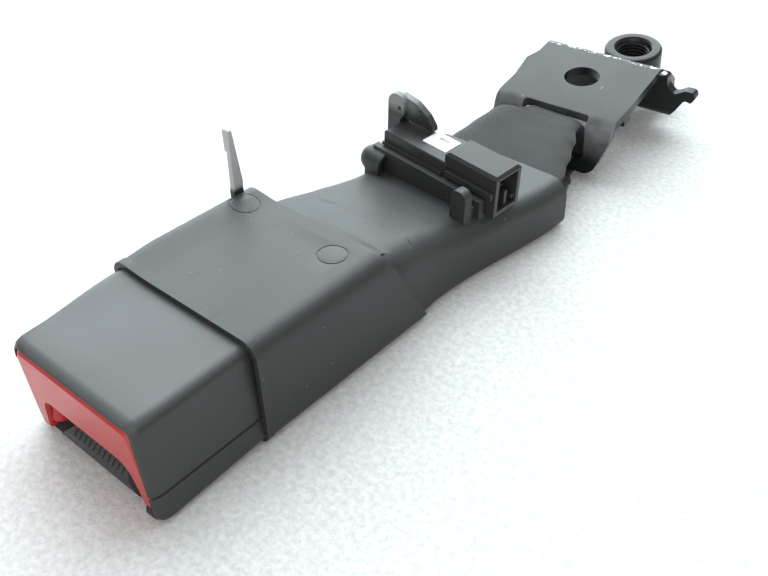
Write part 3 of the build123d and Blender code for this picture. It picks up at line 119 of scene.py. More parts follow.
# ribs on the front slope of the tongue slot's lower lip; the section is (run, rise, share of width)
RIB_COUNT, RIB_PITCH, RIB_WIDTH = 11, 1.75, 0.8
RIB_MIDDLE = Vector((0.0, -28.62, 5.40))
UP_SLOPE, OFF_SLOPE = Vector((0.0, 0.73, 0.69)).normalized(), Vector((0.0, -0.69, 0.73)).normalized()
RIB_SECTION = ((-0.75, -0.3, 1.0), (1.0, -0.3, 1.0), (0.8, 0.32, 0.7), (-0.6, 0.32, 0.7))

# webbing: its middle surface as (y, z) round both bars, its edges as (y, x); SELVEDGE is the share
# of the thickness at its edges, YARN_PHASE is in radians
BELT_WIDTH, BELT_THICKNESS, SELVEDGE = 46.0, 1.2, 0.55
BELT_COLUMNS, BELT_SPACING = 15, 0.9
YARN_WIDTH, YARN_FLOAT, YARN_PHASE = 0.62, 1.30, 1.5708
TOP_RUN_Y, TOP_RUN_Z = 104, 9.7
GATHER_START, GATHER_RUN = 116.0, 20.0
CALM_END, CALM_RUN = 142.0, 8.0
EDGE_ROLL, EDGE_DROP = 3.0, 0.9
FOLD_HEIGHT, FOLD_TURNS, FOLD_LEAN = 0.35, 9.0, 0.05
SAG_HEIGHT, SAG_ACROSS, SAG_ALONG, SAG_UP = 0.18, 0.09, 0.06, 0.2
BELT_LOOP = (
    (104, 8.55), (90, 8.15), (66, 7.3), (46, 5.9), (38, 4.75), (32, 4.65), (29.4, 5.4), (29.25, 7.0),
    (29.6, 8.6), (32, 9.15), (38, 8.9), (46, 7.4), (66, 8.45), (90, 9.25), (104, 9.74), (111, 11.1),
    (120, 12.9), (129, 14.67), (136, 16.05), (140.4, 16.95), (143.0, 17.1), (145.0, 16.9), (146.5, 15.85),
    (148.1, 14.1), (149.5, 11.9), (150.3, 9.2), (150.4, 6.7), (149.7, 4.2), (148.0, 2.05), (145.4, 1.05),
    (141.0, 1.02), (137.0, 1.1), (128.0, 3.05), (120, 4.85), (108, 7.6), (104, 8.5),
)
BELT_LEFT = (
    (28.0, -12.8), (41.0, -12.8), (66.0, -16.3), (110.0, -15.8), (120.0, -15.6), (128.0, -14.4),
    (137.0, -12.8), (140.2, -11.8), (142.4, -4.4), (160.0, -4.2),
)
BELT_RIGHT = (
    (28.0, 12.8), (41.0, 12.8), (66.0, 17.5), (106.0, 24.2), (119.5, 25.9), (127.0, 23.1),
    (134.8, 20.1), (141.2, 16.8), (144.0, 16.4), (160.0, 16.2),
)

# stage and lights, in metres and watts
FLOOR_SIZE = 6.0
WORLD_COLOR, WORLD_STRENGTH = (1.0, 1.0, 0.99, 1.0), 0.48
LIGHTS = (
    {"name": "sky_panel", "place": (-0.85, 0.95, 1.15), "size": 2.5, "power": 74.0,
     "color": (0.87, 1.0, 1.03)},
    {"name": "front_fill", "place": (0.5, -0.8, 0.5), "size": 0.8, "power": 3.2,
     "color": (1.0, 0.98, 0.96)},
)

# camera fitted to the photograph, with its angles in degrees
CAMERA_PLACE = (145.33, -91.96, 166.72)
CAMERA_AZIMUTH, CAMERA_ELEVATION, CAMERA_ROLL = 42.19, 39.05, -2.06
FOCAL_LENGTH_PX, PHOTO_WIDTH_PX = 956.75, 768.0
SENSOR_WIDTH = 36.0


def mm(x, y, z):
    """A place in CAD millimetres as a place in the frame, in metres."""
    return (Vector((x, y, z)) - ORIGIN) * MM


def turn_about(axis, degrees):
    return Matrix.Rotation(math.radians(degrees), 4, axis)


BRACKET = Matrix.Translation(mm(*BRACKET_PLACE))
BRACKET = BRACKET @ turn_about("Z", BRACKET_YAW) @ turn_about("X", BRACKET_PITCH)


# ---------------------------------------------------------------- node helpers
class Shader:
    """A Principled material built node by node."""

    def __init__(self, name):
        self.mat = bpy.data.materials.new(name)
        self.mat.use_nodes = True
        self.tree = self.mat.node_tree
        self.bsdf = self.tree.nodes["Principled BSDF"]
        self.coords = self.tree.nodes.new("ShaderNodeTexCoord")

    def set(self, **values):
        """Plain values on the Principled node's sockets."""
        for key, value in values.items():
            self.bsdf.inputs[key.replace("_", " ")].default_value = value
        return self

    def node(self, kind, inputs=None, **props):
        """A new node with its inputs linked or set."""
        made = self.tree.nodes.new(kind)
        for key, value in props.items():
            setattr(made, key, value)
        for key, value in (inputs or {}).items():
            if isinstance(value, bpy.types.NodeSocket):
                self.tree.links.new(value, made.inputs[key])
            else:
                made.inputs[key].default_value = value
        return made

    def surface(self, color, roughness, normal):
        """The finished material, with these three linked."""
        for name, socket in (("Base Color", color), ("Roughness", roughness), ("Normal", normal)):
            self.link(name, socket)
        return self.mat

    def link(self, name, socket):
        self.tree.links.new(socket, self.bsdf.inputs[name])

    def object_coords(self, scale=(1.0, 1.0, 1.0), rotation=(0.0, 0.0, 0.0)):
        mapping = self.node("ShaderNodeMapping", {"Vector": self.coords.outputs["Object"]})
        mapping.inputs["Scale"].default_value = scale
        mapping.inputs["Rotation"].default_value = rotation
        return mapping.outputs["Vector"]

    def noise(self, scale, detail, vector=None, rough=0.55):
        vector = vector or self.coords.outputs["Object"]
        made = self.node("ShaderNodeTexNoise", {"Vector": vector, "Scale": scale, "Detail": detail,
                                                "Roughness": rough})
        return made.outputs["Fac"]

    def voronoi(self, scale, feature="F1"):
        inputs = {"Vector": self.coords.outputs["Object"], "Scale": scale}
        made = self.node("ShaderNodeTexVoronoi", inputs, feature=feature)
        return made.outputs["Distance"]

    def remap(self, value, low, high, to_low=0.0, to_high=1.0):
        made = self.node("ShaderNodeMapRange", {"Value": value, "From Min": low, "From Max": high,
                                                "To Min": to_low, "To Max": to_high})
        return made.outputs["Result"]

    def vary(self, noise, low, high):
        """Low to high as a noise goes through its usual range."""
        return self.remap(noise, 0.3, 0.7, low, high)

    def math(self, operation, a, b=0.0):
        made = self.node("ShaderNodeMath", {0: a, 1: b}, operation=operation)
        return made.outputs["Value"]

    def mix(self, fac, a, b):
        made = self.node("ShaderNodeMix", {"Factor": fac}, data_type="RGBA")
        for key, value in ((6, a), (7, b)):
            if isinstance(value, bpy.types.NodeSocket):
                self.tree.links.new(value, made.inputs[key])
            else:
                made.inputs[key].default_value = value
        return made.outputs[2]

    def over(self, base, color, mask, strength):
        """A colour laid over the base where the mask is 1, by strength."""
        return self.mix(self.math("MULTIPLY", mask, strength), base, color)

    def both(self, first, second):
        """1 only where both masks are 1."""
        return self.math("MULTIPLY", first, second)

    def bump(self, height, distance, strength):
        made = self.node("ShaderNodeBump", {"Height": height, "Distance": distance, "Strength": strength})
        return made.outputs["Normal"]

    def top_sheen_mask(self):
        """1 on what faces up, 0 on upright and lower faces: where a painted top sheen goes."""
        geometry = self.node("ShaderNodeNewGeometry")
        split = self.node("ShaderNodeSeparateXYZ", {"Vector": geometry.outputs["Normal"]})
        return self.remap(split.outputs["Z"], 0.55, 0.95)

    def place_mask(self, axis, none, full):
        """0 at none and 1 at full along X, Y or Z, in CAD millimetres."""
        split = self.node("ShaderNodeSeparateXYZ", {"Vector": self.coords.outputs["Object"]})
        start = ORIGIN["XYZ".index(axis)]
        return self.remap(split.outputs[axis], (none - start) * MM, (full - start) * MM)

    def bracket_mask(self, axis, none, full):
        """0 at none and 1 at full along one of the bracket's own axes, in millimetres."""
        local = self.node("ShaderNodeVectorMath", {0: self.coords.outputs["Object"]}, operation="SUBTRACT")
        local.inputs[1].default_value = BRACKET.translation
        along = self.node("ShaderNodeVectorMath", {0: local.outputs["Vector"]}, operation="DOT_PRODUCT")
        along.inputs[1].default_value = BRACKET.to_3x3() @ Vector(axis)
        return self.remap(along.outputs["Value"], none * MM, full * MM)


def grey(value, tint=0.0):
    """A grey that leans to blue by tint, or to red where tint is negative."""
    return (value * (1.0 - tint), value, value * (1.0 + tint), 1.0)


# ---------------------------------------------------------------- materials
def cover_plastic():
    """Fine spark eroded grain, with a painted sheen on what faces up."""
    look = Shader("cover_plastic").set(Specular_IOR_Level=0.55)
    grain = look.voronoi(4200.0, "SMOOTH_F1")
    fine = look.noise(7000.0, 2.0)
    height = look.math("ADD", grain, look.math("MULTIPLY", fine, 0.6))
    cloud = look.noise(60.0, 5.0)
    color = look.mix(cloud, grey(0.027, 0.02), grey(0.036, 0.02))
    # painted sheen: what faces up is painted a lighter, bluer grey, for the sky light that falls on it
    color = look.over(color, grey(0.15, 0.04), look.top_sheen_mask(), 0.50)
    return look.surface(color, look.vary(cloud, 0.40, 0.46), look.bump(height, FINE_GRAIN, 0.25))


def boot_plastic():
    """Soft satin moulding with flow marks, dust specks and small scuffs."""
    look = Shader("boot_plastic").set(Specular_IOR_Level=0.5)
    flow = look.noise(38.0, 6.0, look.object_coords((1.0, 0.35, 1.0)))
    fine = look.noise(2400.0, 3.0)
    scuff = look.noise(420.0, 3.0, look.object_coords((1.0, 0.12, 1.0), (0.0, 0.0, 0.6)))
    scuffs = look.remap(scuff, 0.66, 0.74)
    specks = look.remap(look.voronoi(210.0), 0.06, 0.035)
    # the tab is paler where it bends, and the thin fin is painted pale for the light that comes through it
    tab = look.both(look.place_mask("Z", *TAB_Z), look.place_mask("X", *TAB_X))
    fin = look.both(look.place_mask("Y", *FIN_Y), look.place_mask("Z", *FIN_Z))
    color = look.mix(flow, grey(0.024, 0.02), grey(0.032, 0.02))
    # painted sheen: what faces up is painted a lighter, bluer grey, for the sky light that falls on it
    color = look.over(color, grey(0.13, 0.04), look.top_sheen_mask(), 0.26)
    color = look.over(color, grey(0.33, 0.02), tab, 0.75)
    color = look.mix(fin, color, grey(0.50, 0.02))
    color = look.over(color, grey(0.11), scuffs, 0.15)
    color = look.over(color, grey(0.30), specks, 0.40)
    roughness = look.math("ADD", look.vary(flow, 0.46, 0.52), look.math("MULTIPLY", scuffs, 0.10))
    height = look.math("ADD", fine, look.math("MULTIPLY", flow, 2.0))
    return look.surface(color, roughness, look.bump(height, 0.00005, 0.35))


def button_plastic():
    """Red moulding with a satin face and a faint cloud in its colour."""
    look = Shader("button_plastic").set(Specular_IOR_Level=0.5, Coat_Weight=0.12, Coat_Roughness=0.25)
    cloud = look.noise(90.0, 5.0)
    fine = look.noise(3000.0, 3.0)
    color = look.mix(cloud, (0.46, 0.026, 0.022, 1.0), (0.56, 0.036, 0.030, 1.0))
    return look.surface(color, look.vary(cloud, 0.30, 0.40), look.bump(fine, FINE_GRAIN, 0.4))


def connector_plastic():
    """Hard black moulding, smoother than the boot."""
    look = Shader("connector_plastic").set(Specular_IOR_Level=0.34, Coat_Weight=0.03, Coat_Roughness=0.18)
    cloud = look.noise(140.0, 4.0)
    fine = look.noise(4200.0, 2.0)
    color = look.mix(cloud, grey(0.026), grey(0.042))
    return look.surface(color, look.vary(cloud, 0.28, 0.36), look.bump(fine, FINE_GRAIN, 0.3))


def moulded(name, color, roughness):
    """Plain moulded plastic of one colour."""
    look = Shader(name).set(Specular_IOR_Level=0.5)
    cloud = look.noise(120.0, 4.0)
    fine = look.noise(2200.0, 3.0)
    darker = tuple(channel * 0.82 for channel in color[:3]) + (1.0,)
    rough = look.vary(cloud, roughness - 0.05, roughness + 0.06)
    return look.surface(look.mix(cloud, darker, color), rough, look.bump(fine, FINE_GRAIN, 0.35))


def bracket_paint():
    """Black dip coat, uneven and scratched, with chips down to the steel on the rear bend."""
    look = Shader("bracket_paint").set(Specular_IOR_Level=0.36, Coat_Weight=0.08, Coat_Roughness=0.12)
    rear_bend = look.both(look.bracket_mask(ALONG, *CHIPS_V), look.bracket_mask(UP, *CHIPS_W))
    chips = look.both(rear_bend, look.remap(look.noise(560.0, 3.0), 0.54, 0.58))
    scratch = look.noise(520.0, 4.0, look.object_coords((1.0, 0.10, 1.0), (0.0, 0.0, 0.5)))
    scratches = look.math("MULTIPLY", look.remap(scratch, 0.70, 0.76), 0.35)
    bare = look.math("MAXIMUM", chips, scratches)
    # painted sheen: a pale mottled grey over the front bend and the flange below it, for the light it
    # catches
    front_bend = look.both(look.bracket_mask(ALONG, *SHEEN_V), look.bracket_mask(UP, *SHEEN_W))
    painted_sheen = look.both(front_bend, look.remap(look.noise(150.0, 4.0), 0.35, 0.65, 0.35, 0.85))
    cloud = look.noise(70.0, 6.0)
    color = look.mix(cloud, grey(0.006, 0.08), grey(0.012, 0.08))
    color = look.mix(painted_sheen, color, grey(0.28, 0.06))
    color = look.mix(bare, color, (0.80, 0.84, 0.86, 1.0))
    look.link("Metallic", look.math("MULTIPLY", bare, 0.8))
    height = look.math("ADD", look.noise(260.0, 4.0), look.math("MULTIPLY", bare, -1.2))
    return look.surface(color, look.vary(cloud, 0.34, 0.44), look.bump(height, 0.00010, 0.45))


def steel(name, value, roughness, brushed=(1.0, 14.0, 1.0)):
    """Bare steel; brushed stretches its fine lines along the axes."""
    look = Shader(name).set(Metallic=1.0)
    lines = look.noise(700.0, 3.0, look.object_coords(brushed))
    cloud = look.noise(90.0, 4.0)
    color = look.mix(cloud, grey(value * 0.82, -0.02), grey(value, -0.02))
    rough = look.vary(lines, roughness - 0.06, roughness + 0.08)
    return look.surface(color, rough, look.bump(lines, FINE_GRAIN, 0.4))


def brass():
    """Contact brass, tarnished in clouds."""
    look = Shader("contact_brass").set(Metallic=1.0)
    cloud = look.noise(300.0, 4.0)
    color = look.mix(cloud, (0.55, 0.38, 0.14, 1.0), (0.78, 0.58, 0.27, 1.0))
    return look.surface(color, look.vary(cloud, 0.22, 0.36), look.bump(cloud, FINE_GRAIN, 0.3))


def belt_weave():
    """Narrow twill of polyester yarn. The UV map holds millimetres across and along the belt."""
    look = Shader("belt_weave").set(Specular_IOR_Level=0.4, Sheen_Weight=0.25, Sheen_Roughness=0.4)
    split = look.node("ShaderNodeSeparateXYZ", {"Vector": look.coords.outputs["UV"]})
    across, along = split.outputs["X"], split.outputs["Y"]
    yarn = look.math("ABSOLUTE", look.math("SINE", look.math("MULTIPLY", across, 2 * math.pi / YARN_WIDTH)))
    # each half yarn dips under the next a quarter turn later, in a diagonal step
    number = look.math("FLOOR", look.math("MULTIPLY", across, 2 / YARN_WIDTH))
    lean = look.math("MULTIPLY", along, 2 * math.pi / YARN_FLOAT)
    lean = look.math("ADD", lean, look.math("MULTIPLY", number, YARN_PHASE))
    lift = look.remap(look.math("SINE", lean), -1.0, 1.0)
    height = look.math("MULTIPLY", yarn, look.math("ADD", look.math("MULTIPLY", lift, 0.7), 0.3))
    fuzz = look.noise(2600.0, 3.0)
    height = look.math("ADD", height, look.math("MULTIPLY", fuzz, 0.25))
    cloud = look.noise(45.0, 5.0)
    color = look.mix(cloud, grey(0.018), grey(0.032))
    # painted light and shade of the weave: the yarn crests are painted lighter than the hollows between them
    color = look.over(color, grey(0.050), height, 0.5)
    return look.surface(color, look.vary(cloud, 0.55, 0.66), look.bump(height, 0.00016, 0.6))


def thread_material():
    """Bonded sewing thread, twisted."""
    look = Shader("bonded_thread").set(Specular_IOR_Level=0.4)
    twist = look.noise(1500.0, 2.0, look.object_coords((1.0, 4.0, 1.0)))
    color = look.mix(twist, grey(0.03), grey(0.09))
    return look.surface(color, look.vary(twist, 0.45, 0.6), look.bump(twist, 0.00008, 0.6))


def floor_material():
    """The pale sheet that the part lies on."""
    look = Shader("pale_floor").set(Specular_IOR_Level=0.3, Roughness=0.7)
    cells = look.noise(620.0, 5.0, rough=0.7)
    look.link("Base Color", look.mix(look.remap(cells, 0.35, 0.65), grey(0.66), grey(0.86)))
    look.link("Normal", look.bump(cells, 0.0008, 0.5))
    return look.mat


MATERIALS = {
    "black_cover": cover_plastic(),
    "red_button": button_plastic(),
    "boot_rubber": boot_plastic(),
    "connector_plastic": connector_plastic(),
    "white_plastic": moulded("white_plastic", (0.85, 0.86, 0.85, 1.0), 0.42),
    "bracket_paint": bracket_paint(),
    "frame_steel": steel("frame_steel", 0.58, 0.34),
    "spring_steel": steel("spring_steel", 0.42, 0.30, (1.0, 1.0, 1.0)),
    "contact_brass": brass(),
    "ejector_plastic": moulded("ejector_plastic", (0.74, 0.71, 0.62, 1.0), 0.45),
    "belt_webbing": belt_weave(),
    "thread": thread_material(),
    "wire_insulation": moulded("wire_insulation", (0.03, 0.03, 0.032, 1.0), 0.42),
}


# ---------------------------------------------------------------- mesh helpers
def add_object(name, data):
    made = bpy.data.objects.new(name, data)
    bpy.context.collection.objects.link(made)
    return made


def paint(mesh, slot):
    """The slot's material, and no other, on a mesh."""
    mesh.materials.clear()
    mesh.materials.append(MATERIALS[slot])


def add_piece(name, mesh, body, slot, node=None):
    """A piece that rides on a body, in place of the CAD node if one is named."""
    piece = add_object(name, mesh)
    paint(mesh, slot)
    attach(piece, body)
    if node:
        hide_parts(node)
    return piece


def new_mesh(name, work, sharp=None):
    """The bmesh as a mesh: flat, or smooth but for edges of more than sharp degrees."""
    mesh = bpy.data.meshes.new(name)
    work.to_mesh(mesh)
    work.free()
    if sharp is not None:
        mesh.shade_smooth()
        mesh.set_sharp_from_angle(angle=math.radians(sharp))
    return mesh


def soften(piece, width, segments=3):
    """Edges rounded over width, in millimetres."""
    bevel = piece.modifiers.new("soft_edges", "BEVEL")
    bevel.width = width * MM
    bevel.segments = segments
    bevel.limit_method = "ANGLE"
    bevel.angle_limit = math.radians(SOFT_ANGLE)
    bevel.harden_normals = True
    bevel.use_clamp_overlap = True


def bridge(work, here, there):
    """Faces between two closed rows of vertices."""
    for index in range(len(here)):
        after = (index + 1) % len(here)
        work.faces.new((here[index], there[index], there[after], here[after]))


def polar(radius, turn, height):
    """A place round the local Z axis, from millimetres and radians."""
    return Vector((radius * math.cos(turn) * MM, radius * math.sin(turn) * MM, height * MM))


def arc(x, y, radius, start, end, steps=6):
    """Points on an arc about (x, y) from start to end, in degrees."""
    found = []
    for step in range(steps + 1):
        turn = math.radians(start + (end - start) * step / steps)
        found.append((x + radius * math.cos(turn), y + radius * math.sin(turn)))
    return found


def lathe(name, profile, place, steps=72):
    """A closed profile of (radius, height) in millimetres, turned about the local Z axis."""
    work = bmesh.new()
    rings = []
    for step in range(steps):
        turn = 2 * math.pi * step / steps
        rings.append([work.verts.new(place @ polar(radius, turn, height)) for radius, height in profile])
    for step in range(steps):
        bridge(work, rings[step], rings[(step + 1) % steps])
    bmesh.ops.recalc_face_normals(work, faces=work.faces)
    return new_mesh(name, work, sharp=40)


# ---------------------------------------------------------------- fitting the CAD's forms to the photograph
def clamped(value):
    return max(0.0, min(1.0, value))


def step_between(low, high, value):
    """A smooth step from 0 at low to 1 at high."""
    share = clamped((value - low) / (high - low))
    return share * share * (3.0 - 2.0 * share)


def nose_forward(point):
    """The covers' front edge comes level with the button's face, but for the left cheek."""
    in_front = point.y < NOSE_BEFORE_Y
    if in_front and (point.z > LIP_TOP_Z or point.x > CHEEK_INNER_X):
        cheek = step_between(*LEFT_CHEEK_X, point.x) * step_between(*LEFT_CHEEK_Z, point.z)
        point.y -= NOSE_REACH * (1.0 - cheek)
    return point


def upper_form(point):
    """The crown is fuller on the left, towards the boot."""
    point = nose_forward(point)
    swell = step_between(*CROWN_Y, point.y) * step_between(*CROWN_X, point.x)
    swell *= step_between(*CROWN_Z, point.z)
    return point + CROWN_SWELL * swell


def lower_form(point):
    """The foot of the lower cover flares a little."""
    point = nose_forward(point)
    if abs(point.x) > FOOT_OUTSIDE_X:
        flare = FOOT_FLARE * step_between(*FOOT_Z, point.z) * step_between(*FOOT_Y, point.y)
        point.x += math.copysign(flare, point.x)
    return point


def boot_form(point):
    """Shallow ring marks, a shelf that fades out on the right, a box swollen along its left edge."""
    for x, y in RING_MARKS:
        radius = math.hypot(point.x - x, point.y - y)
        level = point.z + TOP_SLOPE * (point.y - y)
        if RING_RADII[0] < radius < RING_RADII[1] and RING_FLOOR_Z[0] < level < RING_FLOOR_Z[1]:
            point.z += RING_FILL
    on_shelf = SHELF_Y[0] < point.y < SHELF_Y[1] and point.z > SHELF_ABOVE_Z
    if on_shelf and point.x > SHELF_X[0]:
        point.z -= (point.z - SHELF_FOOT_Z) * SHELF_FADE * step_between(*SHELF_X, point.x)
    swell = RIM_SHARE + (1.0 - RIM_SHARE) * step_between(*BOX_FRONT_Y, point.y)
    swell *= step_between(*BOX_REAR_Y, point.y)
    swell *= step_between(*BOX_X, point.x) * step_between(*BOX_Z, point.z)
    swell *= step_between(*BOX_TOP_Z, point.z)
    return point + BOX_SWELL * swell


def dress(node, body, slot, width, cuts=(), form=None):
    """The CAD node's own form, its facets merged and its edges softened over width, in millimetres.

    Cuts, as (axis, places), give the form more points to move.
    """
    work = bmesh.new()
    work.from_mesh(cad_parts[node].data)
    bmesh.ops.remove_doubles(work, verts=work.verts, dist=MERGE_DISTANCE)
    merge_angle = math.radians(FLAT_ANGLE)
    bmesh.ops.dissolve_limit(work, angle_limit=merge_angle, verts=work.verts, edges=work.edges)
    for axis, places in cuts:
        for place in places:
            geometry = list(work.verts) + list(work.edges) + list(work.faces)
            bmesh.ops.bisect_plane(work, geom=geometry, plane_co=mm(*(Vector(axis) * place)), plane_no=axis)
    if form:
        for vert in work.verts:
            vert.co = mm(*form(vert.co / MM + ORIGIN))
    mesh = new_mesh(node + "_form", work, sharp=SOFT_ANGLE)
    soften(add_piece(node + "_dressed", mesh, body, slot, node), width)


# ---------------------------------------------------------------- CAD nodes that keep their own form
OWN_FORM = {
    "buckle_frame": "frame_steel",
    "latch_pivot_pin": "frame_steel",
    "latch_plate": "frame_steel",
    "lock_slider": "frame_steel",
    "spring_guide_pin": "frame_steel",
    "ejector": "ejector_plastic",
    "switch_housing": "ejector_plastic",
    "switch_contacts": "contact_brass",
    "switch_wiper": "contact_brass",
    "connector_terminals": "contact_brass",
    "switch_wires": "wire_insulation",
    "webbing_stitching": "thread",
}
for node, slot in OWN_FORM.items():
    paint(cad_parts[node].data, slot)


# ---------------------------------------------------------------- springs
def coil(node):
    """A copy of the spring, which rides on the housing in place of the CAD node."""
    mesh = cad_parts[node].data.copy()
    piece = add_piece(node + "_coil", mesh, "housing", "spring_steel", node)
    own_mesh(piece)


coil("button_springs")
coil("latch_spring")
coil("ejector_spring")


# ---------------------------------------------------------------- CAD nodes with fitted forms and soft edges
dress("upper_cover", "housing", "black_cover", 0.18, form=upper_form,
      cuts=((ALONG, range(-22, 8, 4)), (ACROSS, (-18, -15, -12)), (UP, (12, 16, 20, 24))))
dress("lower_cover", "housing", "black_cover", 0.16, form=lower_form,
      cuts=((ACROSS, (-19, -16.5, -15.5, 15.5, 16.5, 19)), (UP, (3, 5)), (ALONG, (-25, -0.3))))
dress("press_button", "button", "red_button", 0.25)
dress("boot", "housing", "boot_rubber", 0.30, form=boot_form,
      cuts=((ALONG, (3, 6, 9, 12, 18, 26, 34, 40, 46, 52, 58)),
            (ACROSS, (-21, -18, -15, -12, 12.1, 14.5, 17)),
            (UP, (8, 13, 18, 23, 30, 32))))
dress("connector_housing", "housing", "connector_plastic", 0.30)
dress("connector_insert", "housing", "white_plastic", 0.12)
dress("connector_lock", "housing", "connector_plastic", 0.14)
dress("anchor_bracket", "bracket", "bracket_paint", 0.35)


# ---------------------------------------------------------------- welded boss with its thread
def boss_place(height):
    """The bracket's frame, moved to the boss's axis and up by height."""
    return BRACKET @ Matrix.Translation(Vector((BOSS_U, BOSS_V, height)) * MM)


def boss_body():
    """Turned body with a pilot below its seat, a rounded crown and a countersunk mouth."""
    profile = [(PILOT_RADIUS, BOSS_LOW), (PILOT_RADIUS, BOSS_SEAT), (BOSS_RADIUS - SEAT_ROUND, BOSS_SEAT)]
    profile += arc(BOSS_RADIUS - SEAT_ROUND, BOSS_SEAT + SEAT_ROUND, SEAT_ROUND, -90, 0)
    profile += arc(BOSS_RADIUS - CROWN_ROUND, BOSS_HIGH - CROWN_ROUND, CROWN_ROUND, 0, 90, steps=8)
    profile += arc(THREAD_ROOT + MOUTH_CHAMFER, BOSS_HIGH - MOUTH_ROUND, MOUTH_ROUND, 90, 120, steps=3)
    profile += [(THREAD_ROOT, BOSS_HIGH - MOUTH_CHAMFER), (THREAD_ROOT, BOSS_LOW + FOOT_CHAMFER_RISE)]
    profile += [(THREAD_ROOT + FOOT_CHAMFER, BOSS_LOW)]
    mesh = lathe("weld_boss_body", profile, boss_place(0))
    add_piece("weld_boss_body", mesh, "bracket", "bracket_paint", "weld_boss")


def boss_thread():
    """Helical thread in the boss's bore, which runs out at both ends."""
    height = BOSS_HIGH - THREAD_MOUTH_GAP - BOSS_LOW - THREAD_FOOT_GAP
    total = int(height / THREAD_PITCH * THREAD_STEPS)
    place = boss_place(BOSS_LOW + THREAD_FOOT_GAP)
    foot = THREAD_ROOT + THREAD_SINK
    work = bmesh.new()
    rows = []
    for step in range(total + 1):
        turn = 2 * math.pi * step / THREAD_STEPS
        rise = THREAD_PITCH * step / THREAD_STEPS
        fade = min(1.0, step / THREAD_RUN_OUT, (total - step) / THREAD_RUN_OUT)
        tip = foot - (THREAD_ROOT - THREAD_CREST) * fade
        section = ((foot, -THREAD_HALF_FOOT), (tip, -THREAD_HALF_TIP),
                   (tip, THREAD_HALF_TIP), (foot, THREAD_HALF_FOOT))
        rows.append([work.verts.new(place @ polar(radius, turn, rise + lift)) for radius, lift in section])
    for here, there in zip(rows, rows[1:]):
        bridge(work, here, there)
    bmesh.ops.recalc_face_normals(work, faces=work.faces)
    add_piece("boss_thread", new_mesh("boss_thread", work, sharp=30), "bracket", "bracket_paint")


boss_body()
boss_thread()


# ---------------------------------------------------------------- ribs on the tongue slot's lower lip
def rib_end(work, middle, side):
    """One end of a rib, at side from its middle."""
    found = []
    for run, rise, share in RIB_SECTION:
        place = middle + Vector((side * share, 0.0, 0.0)) + UP_SLOPE * run + OFF_SLOPE * rise
        found.append(work.verts.new(mm(*place)))
    return found


def lip_ribs():
    """The CAD lip's eleven ribs run on down its front slope, at the same pitch."""
    work = bmesh.new()
    for number in range(RIB_COUNT):
        middle = RIB_MIDDLE + Vector(((number - RIB_COUNT // 2) * RIB_PITCH, 0.0, 0.0))
        left = rib_end(work, middle, -RIB_WIDTH / 2)
        right = rib_end(work, middle, RIB_WIDTH / 2)
        work.faces.new(left)
        work.faces.new(right[::-1])
        bridge(work, left, right)
    bmesh.ops.recalc_face_normals(work, faces=work.faces)
    ribs = add_piece("slot_lip_ribs", new_mesh("slot_lip_ribs", work), "housing", "black_cover")
    soften(ribs, 0.08, segments=2)


lip_ribs()


# ---------------------------------------------------------------- webbing
def spline(points, spacing):
    """Points of a Catmull-Rom curve through the given ones, about spacing apart."""
    found = []
    padded = [points[0] * 2 - points[1]] + points + [points[-1] * 2 - points[-2]]
    for before, start, end, after in zip(padded, padded[1:], padded[2:], padded[3:]):
        count = max(2, int((end - start).length / spacing))
        for step in range(count):
            t = step / count
            found.append(0.5 * (2 * start + (end - before) * t
                                + (2 * before - 5 * start + 4 * end - after) * t * t
                                + (3 * start - before - 3 * end + after) * t ** 3))
    found.append(points[-1])
    return found


def track(stations, y):
    """The value at y, eased from one station to the next."""
    if y <= stations[0][0]:
        return stations[0][1]
    for (start, low), (end, high) in zip(stations, stations[1:]):
        if y <= end:
            return low + (high - low) * step_between(start, end, y)
    return stations[-1][1]


def belt_row(work, point, normal):
    """One closed row of vertices round the belt: its outer face, then its inner face back."""
    left, right = track(BELT_LEFT, point.y), track(BELT_RIGHT, point.y)
    on_top_run = point.z > TOP_RUN_Z and point.y > TOP_RUN_Y
    gather = clamped((point.y - GATHER_START) / GATHER_RUN) if on_top_run else 0.0
    calm = clamped((CALM_END - point.y) / CALM_RUN)
    curl = EDGE_DROP * gather
    outer, inner = [], []
    for number in range(BELT_COLUMNS):
        share = number / (BELT_COLUMNS - 1)
        x = left + (right - left) * share
        edge = min(share, 1 - share) * (right - left)
        drop = 0.0
        if edge < EDGE_ROLL:
            drop = (1 - math.cos((1 - edge / EDGE_ROLL) * math.pi / 2)) * curl
        wave = FOLD_HEIGHT * gather * math.sin(share * FOLD_TURNS + point.y * FOLD_LEAN)
        wave += SAG_HEIGHT * noise.noise(Vector((x * SAG_ACROSS, point.y * SAG_ALONG, point.z * SAG_UP)))
        centre = Vector((x, point.y, point.z)) + normal * (wave * calm - drop)
        at_edge = number in (0, BELT_COLUMNS - 1)
        half = BELT_THICKNESS / 2 * (SELVEDGE if at_edge else 1.0)
        outer.append(work.verts.new(mm(*(centre + normal * half))))
        inner.append(work.verts.new(mm(*(centre - normal * half))))
    return outer + inner[::-1]


def weave_faces(work, here, there, start, end):
    """Faces between two rows, with millimetres across and along the belt as their UVs."""
    uv = work.loops.layers.uv["weave"]
    last = len(here) - 1
    for side in range(len(here)):
        after = (side + 1) % len(here)
        face = work.faces.new((here[side], here[after], there[after], there[side]))
        for corner, vert, run in zip(face.loops, (side, after, after, side), (start, start, end, end)):
            column = vert if vert < BELT_COLUMNS else last - vert
            corner[uv].uv = (column * BELT_WIDTH / (BELT_COLUMNS - 1), run)


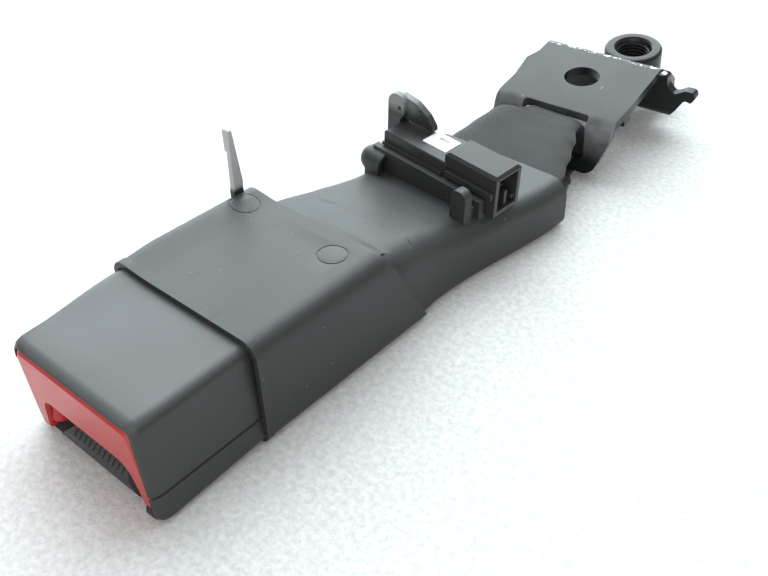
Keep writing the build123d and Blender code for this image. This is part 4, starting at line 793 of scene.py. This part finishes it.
def belt_mesh(line):
    """The belt round a line that ends beside its start."""
    work = bmesh.new()
    work.loops.layers.uv.new("weave")
    rows, lengths = [], [0.0]
    for index, point in enumerate(line[:-1]):
        ahead = line[(index + 1) % (len(line) - 1)]
        along = (ahead - line[index - 1]).normalized()
        rows.append(belt_row(work, point, Vector(ACROSS).cross(along).normalized()))
        lengths.append(lengths[-1] + (ahead - point).length)
    for index, row in enumerate(rows):
        weave_faces(work, row, rows[(index + 1) % len(rows)], lengths[index], lengths[index + 1])
    bmesh.ops.recalc_face_normals(work, faces=work.faces)
    return new_mesh("webbing_belt", work)


def belt():
    """One belt looped round both bars, its edges rolled under where it is gathered."""
    mesh = belt_mesh(spline([Vector((0.0, y, z)) for y, z in BELT_LOOP], BELT_SPACING))
    mesh.shade_smooth()
    piece = add_object("webbing_belt", mesh)
    paint(mesh, "belt_webbing")
    smoother = piece.modifiers.new("rounded", "SUBSURF")
    smoother.levels = 1
    smoother.render_levels = 1
    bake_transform(piece)
    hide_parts("webbing")


belt()


# ---------------------------------------------------------------- stage, light and camera
def stage():
    bpy.ops.mesh.primitive_plane_add(size=FLOOR_SIZE, location=(0, 0, 0))
    floor = bpy.context.object
    floor.name = "floor"
    floor.data.materials.append(floor_material())


def world_light():
    scene = bpy.context.scene
    scene.world = scene.world or bpy.data.worlds.new("World")
    scene.world.use_nodes = True
    background = scene.world.node_tree.nodes["Background"]
    background.inputs["Color"].default_value = WORLD_COLOR
    background.inputs["Strength"].default_value = WORLD_STRENGTH


def panel_light(name, place, size, power, color):
    """A square light at place, turned to the part."""
    light = bpy.data.lights.new(name, "AREA")
    light.shape = "SQUARE"
    light.size = size
    light.energy = power
    light.color = color
    lamp = add_object(name, light)
    lamp.location = place
    lamp.rotation_euler = (-Vector(place)).to_track_quat("-Z", "Y").to_euler()


def camera():
    azimuth, elevation = math.radians(CAMERA_AZIMUTH), math.radians(CAMERA_ELEVATION)
    roll = math.radians(CAMERA_ROLL)
    back = Vector((math.sin(azimuth) * math.cos(elevation), -math.cos(azimuth) * math.cos(elevation),
                   math.sin(elevation)))
    right = Vector((math.cos(azimuth), math.sin(azimuth), 0.0))
    up = back.cross(right)
    turned_right = right * math.cos(roll) + up * math.sin(roll)
    turned_up = up * math.cos(roll) - right * math.sin(roll)
    lens = bpy.data.cameras.new("photo_camera")
    lens.sensor_width = SENSOR_WIDTH
    lens.sensor_fit = "HORIZONTAL"
    lens.lens = FOCAL_LENGTH_PX / PHOTO_WIDTH_PX * SENSOR_WIDTH
    lens.clip_start = 0.01
    cam = add_object("photo_camera", lens)
    cam.matrix_world = Matrix((turned_right, turned_up, back)).transposed().to_4x4()
    cam.location = mm(*CAMERA_PLACE)
    bpy.context.scene.camera = cam


stage()
world_light()
for light in LIGHTS:
    panel_light(**light)
camera()
bpy.context.scene.view_settings.view_transform = "Standard"
